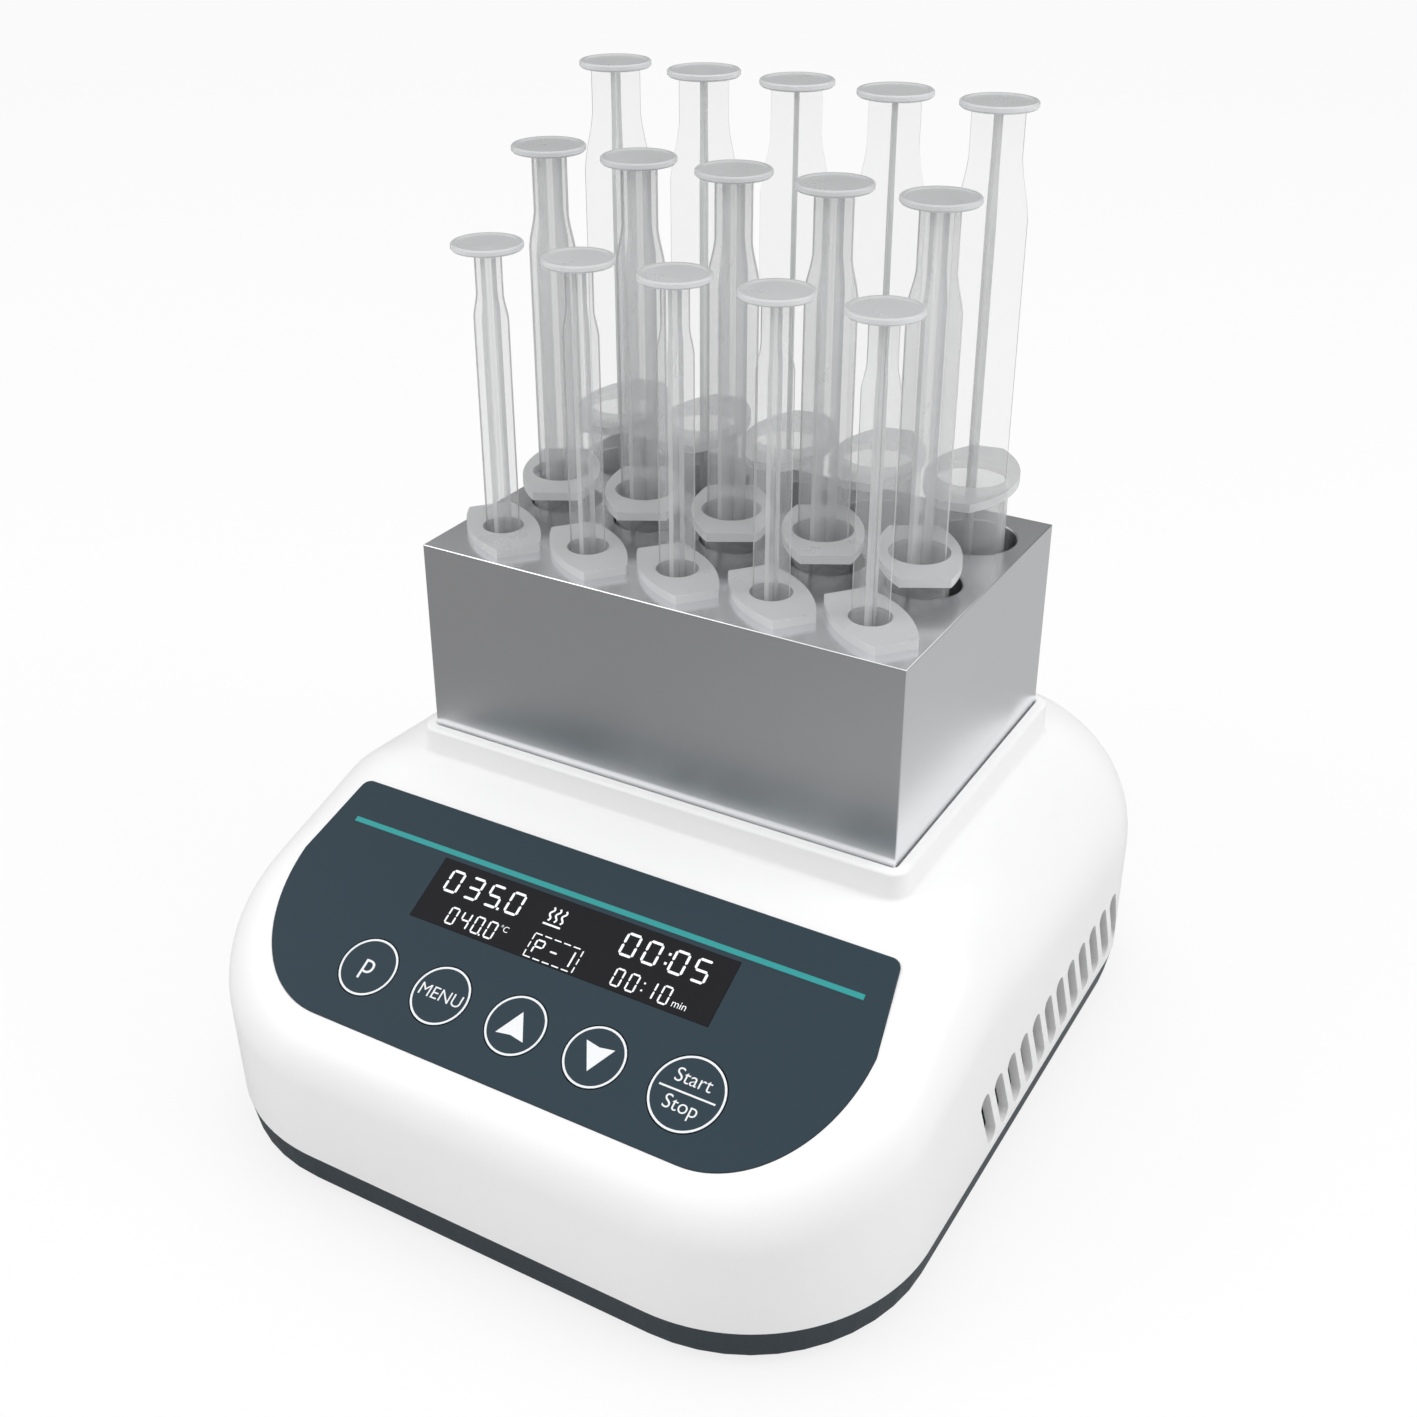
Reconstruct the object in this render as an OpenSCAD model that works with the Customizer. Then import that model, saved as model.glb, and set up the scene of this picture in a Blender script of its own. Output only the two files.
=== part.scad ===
// Dry block heater.
// A moulded housing on a base tray carries a heated well. A solid aluminium
// block stands in the well and holds three rows of five loaded syringes.
// Millimetres, +Z up, origin on the floor under the middle of the base.

/* [Housing] */
// Width of the housing at the seam
body_w = 218.6; // [204:0.1:262.5]
// Depth of the housing at the seam
body_d = 249.6; // [242:0.2:300]
// Plan radius of the front corners
front_corner_r = 54.5; // [46:0.5:62]
// Plan radius of the rear corners
rear_corner_r = 54; // [46:0.5:60]
// Height of the seam between tray and housing
seam_z = 14; // [12:0.5:16]
// Height of the flat top round the block
top_z = 90.5; // [88:0.1:108]
// Slope of the control panel in degrees
panel_tilt = 26; // [21.5:0.5:29]
// Wall thickness of the housing
wall = 3; // [2.5:0.1:3.6]
// Edge radius of the rear and side shoulders
shoulder_r = 39; // [30:0.5:42]
// Edge radius where the panel meets the flat top
knee_r = 27; // [22:0.5:32]
// Edge radius round the front of the panel
front_edge_r = 17.5; // [14:0.5:20]
// Height of the collar above the flat top
collar_h = 8.9; // [6:0.1:12]
// Wall thickness of the collar
collar_wall = 3.5; // [3:0.1:4.5]

/* [Vents] */
// Number of slots in each side
vent_count = 12; // [6:1:12]
// Distance from slot to slot
vent_pitch = 9.65; // [8.5:0.05:10]
// Width of a slot
vent_w = 5.6; // [3:0.1:6]
// Height of a slot
vent_h = 22.8; // [15:0.1:26]
// Rearward shift of a slot's foot
vent_slant = 8; // [0:0.1:9]

/* [Tray and feet] */
// Height of a foot below the tray
foot_h = 3; // [2:0.1:5]
// Diameter of a foot
foot_d = 22; // [16:0.5:26]
// Wall thickness of the tray
tray_wall = 2.5; // [2:0.1:3]
// Inward taper of the tray at its lower edge
tray_taper = 1.8; // [1:0.1:4]

/* [Control panel] */
// Height of the printed overlay along the slope
overlay_h = 71.1; // [66:0.1:74]
// Half width of the overlay at its widest
overlay_half_w = 92.6; // [88:0.1:94]
// Half width of the overlay along its top edge
overlay_top_half_w = 88.4; // [84:0.1:90]
// Thickness of the overlay
overlay_t = 0.8; // [0.6:0.1:1.2]
// Width of the display window
window_w = 97; // [80:1:110]
// Height of the display window
window_h = 20; // [16:0.5:22]
// Diameter of the four small keys
key_d = 17.6; // [14:0.2:19]
// Diameter of the start and stop key
start_key_d = 21; // [18:0.2:23]
// Distance between the small keys
key_pitch = 24.9; // [22:0.1:25.5]
// Travel of a key
key_travel = 0.4; // [0.3:0.05:0.6]

/* [Block] */
// Width of the aluminium block
block_w = 152; // [147:1:156]
// Depth of the aluminium block
block_d = 104; // [100:1:108]
// Height of the aluminium block
block_h = 92; // [88:1:96]
// Height of the block above the collar
block_proud = 59.3; // [56:0.1:66]
// Distance from the middle of the base back to the middle of the block
block_back = 22.8; // [20:0.1:26]
// Distance between syringes along a row
column_pitch = 29.45; // [28.5:0.05:30]
// Depth of the bores
bore_depth = 84; // [70:1:86]

/* [Syringes] */
// Row places from the middle of the block, front to back
row_y = [-33.7, -3, 32.2];
// Barrel diameters, front to back
barrel_d = [12, 17.4, 21.4];
// Barrel wall thicknesses
barrel_wall = [0.65, 0.7, 0.75];
// Heights of the flange tops above the block
flange_top = [2.5, 8.9, 19.3];
// Flange half lengths
flange_half_l = [16.4, 17.6, 22.4];
// Flange half widths
flange_half_w = [9.9, 11.6, 13.4];
// Half widths of the straight flange ends
flange_end_half_w = [6.1, 6.9, 4.4];
// Flange directions in degrees from the row
flange_turn = [-40, -61, 100];
// Flange thickness
flange_t = 2.5; // [1.8:0.1:3]
// Heights of the thumb rests above the block
thumb_top = [85.8, 106, 123.3];
// Thumb rest diameters
thumb_d = [19.9, 20.9, 20.8];
// Thumb rest thickness
thumb_t = 1.9; // [1.5:0.1:3]
// Depths of the rods inside the barrels, from the flange top
rod_reach = [9, 11, 30];
// Rib widths of the rods
rib_w = [10.2, 15.2, 19.4];
// Rib widths of the necks under the thumb rests
neck_w = [7.8, 11, 14.1];
// Length of the necks
neck_l = [12.7, 17.5, 13];
// Length of the shoulders where the necks widen into the ribs
neck_blend = [6.5, 10, 16];
// Turn of the ribs in degrees
rib_turn = [13, 2, 26];
// Rib thickness
rib_t = 1.2; // [0.8:0.1:1.8]
// Height of the small barrels' tips above the floors of their bores
small_tip_rise = 10.5; // [4:0.5:20]
// Radial clearance of a barrel in its bore
bore_clear = 2; // [0.6:0.1:2.2]
// Gap left where a barrel stands against the side of its bore
side_gap = 0.3; // [0.2:0.05:0.5]
// Radial clearance of a stopper in its barrel
stopper_clear = 0.05; // [0.02:0.01:0.08]

/* [Rear connections] */
// Width of the rear pocket
pocket_w = 88; // [84:1:100]
// Height of the rear pocket
pocket_h = 40; // [38:1:44]
// Depth of the pocket floor behind the rear of the housing
pocket_depth = 8; // [7:0.5:10]
// Swing of the rocker to each side in degrees
rocker_swing = 10; // [6:1:12]

/* [Hidden] */
NUM = [1, 2, 3, 4, 5];
SIZES = ["small", "medium", "large"];

$fn = 96;
HULL_FN = 40;
ARC_STEPS = 12;
EPS = 0.01;

// colours
WHITE_SHELL = [0.93, 0.94, 0.94];
SLATE = [0.24, 0.28, 0.32];
BLACK = [0.1, 0.1, 0.11];
ALUMINIUM = [0.75, 0.76, 0.78];
STEEL = [0.62, 0.63, 0.65];
CLEAR = [0.88, 0.9, 0.92, 0.6];
RUBBER = [0.16, 0.16, 0.17];
SEAL = [0.82, 0.82, 0.8, 0.8];
BOARD_GREEN = [0.1, 0.36, 0.22];

// fits
part_gap = 0.3;        // between pieces that move past each other
seat_gap = 0.2;        // between pieces that sit in each other
block_gap = 0.4;       // round the block in the collar
screw_d = 3;
screw_hole_d = 3.1;
screw_head_d = 5.6;
screw_head_h = 2.2;
boss_d = 8;

// tray
tray_post_d = 9;
tray_edge = 3;
lip_h = 2.5;
lip_t = 1.5;
counterbore_d = 6.8;
counterbore_h = 4;
foot_x = body_w / 2 - 30;
foot_y = body_d / 2 - 27;
foot_seat = 1;
foot_stud_d = 6;
foot_stud_h = tray_wall;

// housing
collar_top = top_z + collar_h;
collar_r = 5;
collar_chamfer = 1;
collar_hole = [block_w + 2 * block_gap, block_d + 2 * block_gap];
collar_size = [collar_hole.x + 2 * collar_wall, collar_hole.y + 2 * collar_wall];
knee_setback = 7.4;    // flat land between the collar and the panel
knee_y = block_back - collar_size.y / 2 - knee_setback;
front_y = -body_d / 2;
rear_y = body_d / 2;
boss_front = [body_w / 2 - 23.3, front_y + 46.8];
boss_rear = [pocket_w / 2 + 16, rear_y - 26.8];

// the ball that rounds the front edge touches the panel plane and the front wall
front_ball_y = front_y + front_edge_r;
front_ball_z = top_z + (front_ball_y - knee_y) * tan(panel_tilt)
    - front_edge_r / cos(panel_tilt);
front_ring_r = front_corner_r - front_edge_r;
rear_ring_r = rear_corner_r - shoulder_r;

// panel, measured up the slope from the knee line
overlay_top_y = -9.7;
overlay_bottom_y = overlay_top_y - overlay_h;
overlay_corner = [34.6, 44];     // half axes of the lower corners
overlay_top_r = 3;
overlay_sink = 0.5;
overlay_gap = 0.15;
window_y = overlay_top_y - 25.3;
window_ledge = 1.5;
key_y = overlay_bottom_y + 17.5;
key_first_x = -50.6;
key_start_x = key_first_x + 3 * key_pitch + 27.8;
key_x = [for (k = [0:3]) key_first_x + k * key_pitch];
key_gap = 0.3;
board_z = -13;                   // upper face of the control board
board_t = 1.6;
board_size = [146, 64];
board_y = (overlay_top_y + overlay_bottom_y) / 2 - 1;
board_screw = [66, 25];
post_d = 7;
module_frame = 3;
switch_size = [6, 6, 3.5];
switch_stem_d = 3.5;

// well
well_clear = 0.5;
well_wall = 1.2;
well_floor_t = 8;
well_flange_t = 1.5;
well_flange_w = 10;
block_bottom = collar_top + block_proud - block_h;
block_top = block_bottom + block_h;
well_flange_z = top_z - 8.7;     // top face of the well's flange
well_size = [block_w + 2 * (well_clear + well_wall), block_d + 2 * (well_clear + well_wall)];
well_screw_x = well_size.x / 2 + 5.5;
well_screw_y = [-38, 0, 38];
well_bottom = block_bottom - well_floor_t;
pad_t = 1.5;
pad_inset = 8;
jacket_t = 8;
jacket_floor_t = 10;
jacket_bottom = well_bottom - pad_t - jacket_floor_t;
probe_d = 4;
probe_l = 30;
cutout_d = 16;

// power board
tray_floor_z = foot_h + tray_wall;
standoff_h = 10;
power_board_z = tray_floor_z + standoff_h;
power_board_size = [130, 90];
power_board_y = 34;
power_screw = [59, 39];

// block
block_chamfer = 0.8;
bore_mouth = 0.6;
bore_land = 3;
bore_d = [for (d = barrel_d) min(d + 2 * bore_clear, column_pitch - bore_land)];
barrel_lean = [for (row = [0:2]) (bore_d[row] - barrel_d[row]) / 2 - side_gap];

// barrels
nozzle_l = 9;
nozzle_d = 4.1;
barrel_end_t = 1.2;
tip_gap = 0.3;
tip_rise = [small_tip_rise, tip_gap, tip_gap];
barrel_l = [for (row = [0:2]) bore_depth + flange_top[row] - tip_rise[row]];
stopper_l = [6, 8, 9];
disc_t = 1.2;
stopper_gap = 0.1;

// rear pocket
pocket_y = rear_y - pocket_depth;
pocket_z = seam_z + lip_h + seat_gap + wall;
pocket_mid_z = pocket_z + pocket_h / 2;
pocket_r = 4;
inlet_x = -17;
inlet_flange = [50, 31, 2.5];
inlet_body = [27, 29.5, 20];
inlet_screw_x = 20;
socket_size = [24.6, 16.6];
socket_depth = 15.5;
socket_z = 4.8;                  // middle of the socket above the flange's middle
pin_size = [2, 4];
pin_x = 7;
pin_drop = 2;
drawer_size = [24, 7, 17];
drawer_z = -9.6;
drawer_travel = 16;
rocker_x = 26;
switch_flange = [15, 21, 2];
switch_body = [13, 19, 14];
switch_wall = 1;
rocker_r = 8.2;
rocker_axle_d = 2;
rocker_axis_y = pocket_y + 0.6;

// ---------------------------------------------------------------- helpers

// points of an arc round c
function arc(c, r, from, to, steps = ARC_STEPS) =
    [for (k = [0:steps]) let (a = from + (to - from) * k / steps)
        [c.x + r * cos(a), c.y + r * sin(a)]];

// plan of the body, drawn in by inset
function plan_points(inset = 0) =
    let (
        x = body_w / 2, y = body_d / 2,
        fr = front_corner_r, rr = rear_corner_r
    )
    concat(
        arc([x - rr, y - rr], rr - inset, 0, 90),
        arc([rr - x, y - rr], rr - inset, 90, 180),
        arc([fr - x, fr - y], fr - inset, 180, 270),
        arc([x - fr, fr - y], fr - inset, 270, 360)
    );

// right half of the overlay's outline from the bottom upwards, grown by grow
function overlay_side(grow) =
    let (
        cx = overlay_half_w - overlay_corner.x,
        cy = overlay_bottom_y + overlay_corner.y,
        tr = overlay_top_r
    )
    concat(
        [for (k = [0:2 * ARC_STEPS]) let (a = -90 + 90 * k / (2 * ARC_STEPS))
            [cx + (overlay_corner.x + grow) * cos(a), cy + (overlay_corner.y + grow) * sin(a)]],
        arc([overlay_top_half_w - tr, overlay_top_y - tr], tr + grow, 8, 90, 6)
    );

function mirrored(points) = [for (k = [len(points) - 1:-1:0]) [-points[k].x, points[k].y]];

module overlay_outline(grow = 0) {
    polygon(concat(overlay_side(grow), mirrored(overlay_side(grow))));
}

module rounded_rect(size, r) {
    square([size.x - 2 * r, size.y], center = true);
    square([size.x, size.y - 2 * r], center = true);
    for (x = [-1, 1]) for (y = [-1, 1])
        translate([x * (size.x / 2 - r), y * (size.y / 2 - r)]) circle(r, $fn = 32);
}

// panel frame: x to the right, y up the slope from the knee, z out of the panel
module on_panel(y = 0, z = 0) {
    translate([0, knee_y, top_z]) rotate([panel_tilt, 0, 0]) translate([0, y, z]) children();
}

// rear frame: x to the left seen from behind, y up, z out of the rear pocket
module on_rear(x = 0, z = pocket_mid_z) {
    translate([x, pocket_y, z]) rotate([90, 0, 180]) children();
}

module at_block(x = 0, y = 0) {
    translate([x, block_back + y, 0]) children();
}

module at_body_bosses() {
    for (x = [-1, 1]) for (boss = [boss_front, boss_rear])
        translate([x * boss.x, boss.y, 0]) children();
}

module at_well_screws() {
    for (x = [-1, 1]) for (y = well_screw_y)
        at_block(x * well_screw_x, y) children();
}

module at_board_screws() {
    for (x = [-1, 1]) for (y = [-1, 1])
        on_panel(board_y + y * board_screw.y) translate([x * board_screw.x, 0, 0]) children();
}

module at_power_screws() {
    for (x = [-1, 1]) for (y = [-1, 1])
        translate([x * power_screw.x, power_board_y + y * power_screw.y, 0]) children();
}

// pan head screw with its head's seat at z = 0 and its shank upwards
module screw(length) {
    translate([0, 0, -EPS]) cylinder(d = screw_d, h = length, $fn = 24);
    difference() {
        union() {
            translate([0, 0, -screw_head_h * 0.6])
                cylinder(d = screw_head_d, h = screw_head_h * 0.6, $fn = 32);
            translate([0, 0, -screw_head_h])
                cylinder(d1 = screw_head_d * 0.7, d2 = screw_head_d, h = screw_head_h * 0.4, $fn = 32);
        }
        for (a = [0, 90]) rotate(a)
            translate([0, 0, -screw_head_h]) cube([3, 0.7, 1.6], center = true);
    }
}

// domed disc whose rim is a quarter round of radius edge
module puck(ring_r, edge) {
    rotate_extrude($fn = HULL_FN) intersection() {
        translate([ring_r, 0]) circle(edge, $fn = HULL_FN);
        square(ring_r + edge);
    }
}

// ---------------------------------------------------------------- housing

// outer form of the housing, drawn in by inset, its foot lowered by drop
module housing_form(inset = 0, drop = 0) {
    hull() {
        translate([0, 0, seam_z - drop]) linear_extrude(EPS) polygon(plan_points(inset));
        for (x = [-1, 1]) {
            translate([x * (body_w / 2 - rear_corner_r), rear_y - rear_corner_r,
                       top_z - shoulder_r])
                puck(rear_ring_r, shoulder_r - inset);
            translate([x * (body_w / 2 - knee_r),
                       knee_y + knee_r * tan(panel_tilt / 2), top_z - knee_r])
                sphere(knee_r - inset, $fn = HULL_FN);
            translate([x * (body_w / 2 - front_corner_r), front_ball_y, front_ball_z])
                rotate([panel_tilt, 0, 0]) translate([0, front_ring_r, 0])
                    puck(front_ring_r, front_edge_r - inset);
        }
    }
}

module collar() {
    c = collar_chamfer;
    at_block() difference() {
        union() {
            translate([0, 0, well_flange_z + seat_gap])
                linear_extrude(collar_top - c - well_flange_z - seat_gap)
                    rounded_rect(collar_size, collar_r);
            hull() {
                translate([0, 0, collar_top - c - EPS]) linear_extrude(EPS)
                    rounded_rect(collar_size, collar_r);
                translate([0, 0, collar_top - EPS]) linear_extrude(EPS)
                    rounded_rect([collar_size.x - 2 * c, collar_size.y - 2 * c], collar_r - c);
            }
        }
        translate([0, 0, well_flange_z]) linear_extrude(collar_top) square(collar_hole, center = true);
    }
}

// slanted slots, drawn on the side of the body: x along the body, y up
module vent_slots() {
    r = vent_w / 2;
    tilt = atan2(vent_slant, vent_h - vent_w);
    slot_l = norm([vent_slant, vent_h - vent_w]);
    for (k = [0:vent_count - 1])
        translate([(k - (vent_count - 1) / 2) * vent_pitch, 0]) rotate(tilt) {
            square([vent_w, slot_l], center = true);
            for (s = [-1, 1]) translate([0, s * slot_l / 2]) circle(r, $fn = 32);
        }
}

module vents() {
    mid = [body_d * 0.084, seam_z + 3.5 + vent_h / 2];
    for (x = [-1, 1])
        translate([x * body_w / 2, mid.x, mid.y]) rotate([90, 0, 90])
            linear_extrude(5 * wall, center = true) vent_slots();
}

module key_places() {
    for (x = key_x) translate([x, key_y, 0]) circle(d = key_d + 2 * key_gap);
    translate([key_start_x, key_y, 0]) circle(d = start_key_d + 2 * key_gap);
}

module rear_pocket(grow = 0) {
    translate([0, 0, -grow])
        linear_extrude(pocket_depth + grow + EPS)
            rounded_rect([pocket_w + 2 * grow, pocket_h + 2 * grow], pocket_r + grow);
}

module top_housing() {
    color(WHITE_SHELL) difference() {
        union() {
            difference() {
                housing_form();
                difference() {
                    housing_form(wall, 1);
                    at_body_bosses() cylinder(d = boss_d, h = top_z, $fn = 32);
                    at_well_screws() translate([0, 0, well_flange_z])
                        cylinder(d = boss_d, h = top_z, $fn = 32);
                    at_board_screws() translate([0, 0, board_z])
                        cylinder(d = post_d, h = -board_z, $fn = 32);
                    on_rear() rear_pocket(wall);
                }
            }
            collar();
        }
        at_block() translate([0, 0, well_flange_z]) linear_extrude(top_z)
            square(collar_hole, center = true);
        on_panel(0, -overlay_sink) linear_extrude(2 * wall) overlay_outline(overlay_gap);
        on_panel(window_y, -2 * wall) linear_extrude(4 * wall)
            square([window_w - 2 * window_ledge, window_h - 2 * window_ledge], center = true);
        on_panel(0, -2 * wall) linear_extrude(4 * wall) key_places();
        vents();
        on_rear() rear_pocket();
        on_rear(inlet_x) linear_extrude(4 * wall, center = true)
            square([inlet_body.x + 2 * seat_gap, inlet_body.y + 2 * seat_gap], center = true);
        on_rear(rocker_x) linear_extrude(4 * wall, center = true)
            square([switch_body.x + 2 * seat_gap, switch_body.y + 2 * seat_gap], center = true);
        for (s = [-1, 1]) on_rear(inlet_x + s * inlet_screw_x)
            cylinder(d = screw_hole_d, h = 4 * wall, center = true, $fn = 24);
        at_body_bosses() translate([0, 0, seam_z - 1]) cylinder(d = screw_hole_d, h = 21, $fn = 24);
        at_well_screws() translate([0, 0, well_flange_z - 1])
            cylinder(d = screw_hole_d, h = 5, $fn = 24);
        at_board_screws() translate([0, 0, board_z - 1]) cylinder(d = screw_hole_d, h = 9, $fn = 24);
    }
}

// ---------------------------------------------------------------- tray

module tray_form() {
    hull() {
        // rounded lower edge
        for (a = [0:22.5:90])
            translate([0, 0, foot_h + tray_edge * (1 - cos(a))]) linear_extrude(EPS)
                polygon(plan_points(tray_taper * 0.8 + tray_edge * (1 - sin(a))));
        translate([0, 0, seam_z - EPS]) linear_extrude(EPS) polygon(plan_points());
    }
}

module at_feet() {
    for (x = [-1, 1]) for (y = [-1, 1]) translate([x * foot_x, y * foot_y, 0]) children();
}

module base_tray() {
    inner = tray_wall + tray_taper;
    color(SLATE) difference() {
        union() {
            difference() {
                tray_form();
                translate([0, 0, tray_floor_z]) linear_extrude(seam_z) polygon(plan_points(inner));
            }
            translate([0, 0, tray_floor_z]) linear_extrude(seam_z + lip_h - tray_floor_z) difference() {
                polygon(plan_points(wall + seat_gap));
                polygon(plan_points(wall + seat_gap + lip_t + tray_taper));
            }
            at_body_bosses() translate([0, 0, foot_h])
                cylinder(d = tray_post_d, h = seam_z - foot_h, $fn = 32);
            at_power_screws() translate([0, 0, foot_h])
                cylinder(d = tray_post_d, h = tray_wall + 1, $fn = 32);
        }
        at_body_bosses() translate([0, 0, foot_h - 1]) {
            cylinder(d = screw_hole_d, h = seam_z, $fn = 24);
            cylinder(d = counterbore_d, h = counterbore_h + 1, $fn = 32);
        }
        at_feet() {
            translate([0, 0, foot_h - 1]) cylinder(d = foot_d + 2 * seat_gap, h = foot_seat + 1);
            cylinder(d = foot_stud_d + 2 * seat_gap, h = seam_z, $fn = 32);
        }
    }
}

module rubber_feet() {
    r = foot_d / 2;
    color(RUBBER) at_feet() {
        rotate_extrude($fn = 48) polygon([
            [0, 0.6], [r * 0.45, 0.6], [r * 0.5, 0], [r - 1.6, 0], [r - 0.5, 0.5],
            [r, 1.6], [r, foot_h + foot_seat], [0, foot_h + foot_seat]
        ]);
        cylinder(d = foot_stud_d, h = foot_h + foot_seat + foot_stud_h, $fn = 32);
    }
}

module housing_screws() {
    color(STEEL) at_body_bosses() translate([0, 0, foot_h + counterbore_h]) screw(seam_z);
}

// ---------------------------------------------------------------- panel

module control_overlay() {
    color(SLATE) on_panel(0, -overlay_sink) linear_extrude(overlay_t) difference() {
        overlay_outline();
        key_places();
        translate([0, window_y]) square([window_w, window_h], center = true);
    }
}

module display_window() {
    color(BLACK) on_panel(window_y, -overlay_sink) linear_extrude(overlay_t)
        square([window_w - seat_gap, window_h - seat_gap], center = true);
}

module key(x, d) {
    color(SLATE) on_panel(key_y, -overlay_sink) translate([x, 0, 0]) {
        cylinder(d = d, h = overlay_t);
    }
}

module display_module() {
    size = [window_w - 2 * window_ledge, window_h - 2 * window_ledge];
    back = -overlay_sink - seat_gap - board_z;
    color(BLACK) on_panel(window_y, board_z) {
        translate([0, 0, back / 2])
            cube([size.x - 2 * seat_gap, size.y - 2 * seat_gap, back], center = true);
        translate([0, 0, (back - wall) / 2])
            cube([size.x + 2 * module_frame, size.y + 2 * module_frame, back - wall], center = true);
    }
}

module key_switches() {
    stem_top = -overlay_sink - key_travel - 0.05;
    color(BLACK) for (x = concat(key_x, key_start_x)) on_panel(key_y, board_z) translate([x, 0, 0]) {
        translate([0, 0, switch_size.z / 2]) cube(switch_size, center = true);
        cylinder(d = switch_stem_d, h = stem_top - board_z, $fn = 32);
    }
}

module control_board() {
    color(BOARD_GREEN) on_panel(board_y, board_z - board_t) linear_extrude(board_t) difference() {
        rounded_rect(board_size, 2);
        for (x = [-1, 1]) for (y = [-1, 1])
            translate([x * board_screw.x, y * board_screw.y]) circle(d = screw_hole_d, $fn = 24);
    }
}

module machine_screws() {
    color(STEEL) {
        at_board_screws() translate([0, 0, board_z - board_t]) screw(8);
        at_power_screws() translate([0, 0, power_board_z + board_t]) rotate([180, 0, 0]) screw(6);
        for (s = [-1, 1]) on_rear(inlet_x + s * inlet_screw_x)
            translate([0, 0, inlet_flange.z]) rotate([180, 0, 0]) screw(8);
    }
}

// ---------------------------------------------------------------- power board

module board_standoffs() {
    color([0.78, 0.64, 0.3]) at_power_screws() translate([0, 0, tray_floor_z + 1]) difference() {
        cylinder(d = 6.4, h = standoff_h - 1, $fn = 6);
        translate([0, 0, 1]) cylinder(d = screw_hole_d, h = standoff_h, $fn = 24);
    }
}

module power_board() {
    color(BOARD_GREEN) translate([0, power_board_y, power_board_z]) linear_extrude(board_t) difference() {
        rounded_rect(power_board_size, 2);
        for (x = [-1, 1]) for (y = [-1, 1])
            translate([x * power_screw.x, y * power_screw.y]) circle(d = screw_hole_d, $fn = 24);
    }
}

module power_components() {
    color(BLACK) translate([0, power_board_y, power_board_z + board_t]) {
        // transformer on its bobbin
        translate([-10, 8, 11]) cube([32, 28, 22], center = true);
        translate([-10, 8, 11]) cube([22, 38, 18], center = true);
        // bulk capacitor
        translate([26, 14, 0]) cylinder(d = 18, h = 25);
        // mains filter choke
        translate([40, -20, 0]) cylinder(d = 20, h = 12);
        // heatsink with fins
        translate([-46, 0, 0]) {
            translate([-1.5, -20, 0]) cube([3, 40, 25]);
            for (k = [0:4]) translate([-8, -20 + k * 9.25, 0]) cube([16, 3, 25]);
        }
        // terminal blocks
        for (x = [-28, 8]) translate([x, -37, 0]) difference() {
            translate([-12, -5, 0]) cube([24, 10, 12]);
            for (k = [-1:1]) translate([k * 7.5, 0, 6]) cylinder(d = 4, h = 8, $fn = 24);
        }
    }
}

// ---------------------------------------------------------------- heating

module heater_well() {
    flange = [well_size.x + 2 * well_flange_w, well_size.y + 2 * 3];
    color(ALUMINIUM) at_block() difference() {
        union() {
            translate([0, 0, well_bottom]) linear_extrude(well_flange_z - well_bottom)
                rounded_rect(well_size, 3);
            translate([0, 0, well_flange_z - well_flange_t]) linear_extrude(well_flange_t)
                rounded_rect(flange, 3);
        }
        translate([0, 0, block_bottom]) linear_extrude(block_h)
            rounded_rect([block_w + 2 * well_clear, block_d + 2 * well_clear], 1);
        for (x = [-1, 1]) for (y = well_screw_y)
            translate([x * well_screw_x, y, 0]) cylinder(d = screw_hole_d, h = top_z, $fn = 24);
        // bore of the temperature probe, in from the rear
        translate([0, well_size.y / 2 + 1, block_bottom - well_floor_t / 2]) rotate([90, 0, 0])
            cylinder(d = probe_d + 0.1, h = probe_l, $fn = 32);
    }
}

module well_screws() {
    color(STEEL) at_well_screws() translate([0, 0, well_flange_z - well_flange_t]) screw(5);
}

module heating_pad() {
    size = [well_size.x - 2 * pad_inset, well_size.y - 2 * pad_inset];
    color([0.6, 0.28, 0.12]) at_block() translate([0, 0, well_bottom - pad_t]) linear_extrude(pad_t)
        difference() {
            rounded_rect(size, 4);
            circle(d = cutout_d + 2);
        }
}

module insulation_jacket() {
    outer = [well_size.x + 2 * jacket_t, well_size.y + 2 * jacket_t];
    top = well_flange_z - well_flange_t - screw_head_h - 2;
    color([0.85, 0.83, 0.78]) at_block() difference() {
        translate([0, 0, jacket_bottom]) linear_extrude(top - jacket_bottom) rounded_rect(outer, 6);
        translate([0, 0, well_bottom]) linear_extrude(top)
            rounded_rect([well_size.x + 2 * seat_gap, well_size.y + 2 * seat_gap], 3);
        translate([0, 0, well_bottom - pad_t]) linear_extrude(pad_t + EPS)
            rounded_rect([well_size.x - 2 * pad_inset + 2 * seat_gap,
                          well_size.y - 2 * pad_inset + 2 * seat_gap], 4);
        translate([0, 0, jacket_bottom - 1]) cylinder(d = cutout_d + 2, h = jacket_floor_t + 2);
        translate([0, outer.y / 2 + 1, block_bottom - well_floor_t / 2]) rotate([90, 0, 0])
            cylinder(d = probe_d + 2, h = jacket_t + 2, $fn = 32);
    }
}

module temperature_probe() {
    color(STEEL) at_block() translate([0, well_size.y / 2 + jacket_t + 2, block_bottom - well_floor_t / 2])
        rotate([90, 0, 0]) {
            cylinder(d = probe_d, h = probe_l + jacket_t, $fn = 32);
            translate([0, 0, -3]) cylinder(d = probe_d + 1.6, h = 4, $fn = 32);
        }
}

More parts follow.
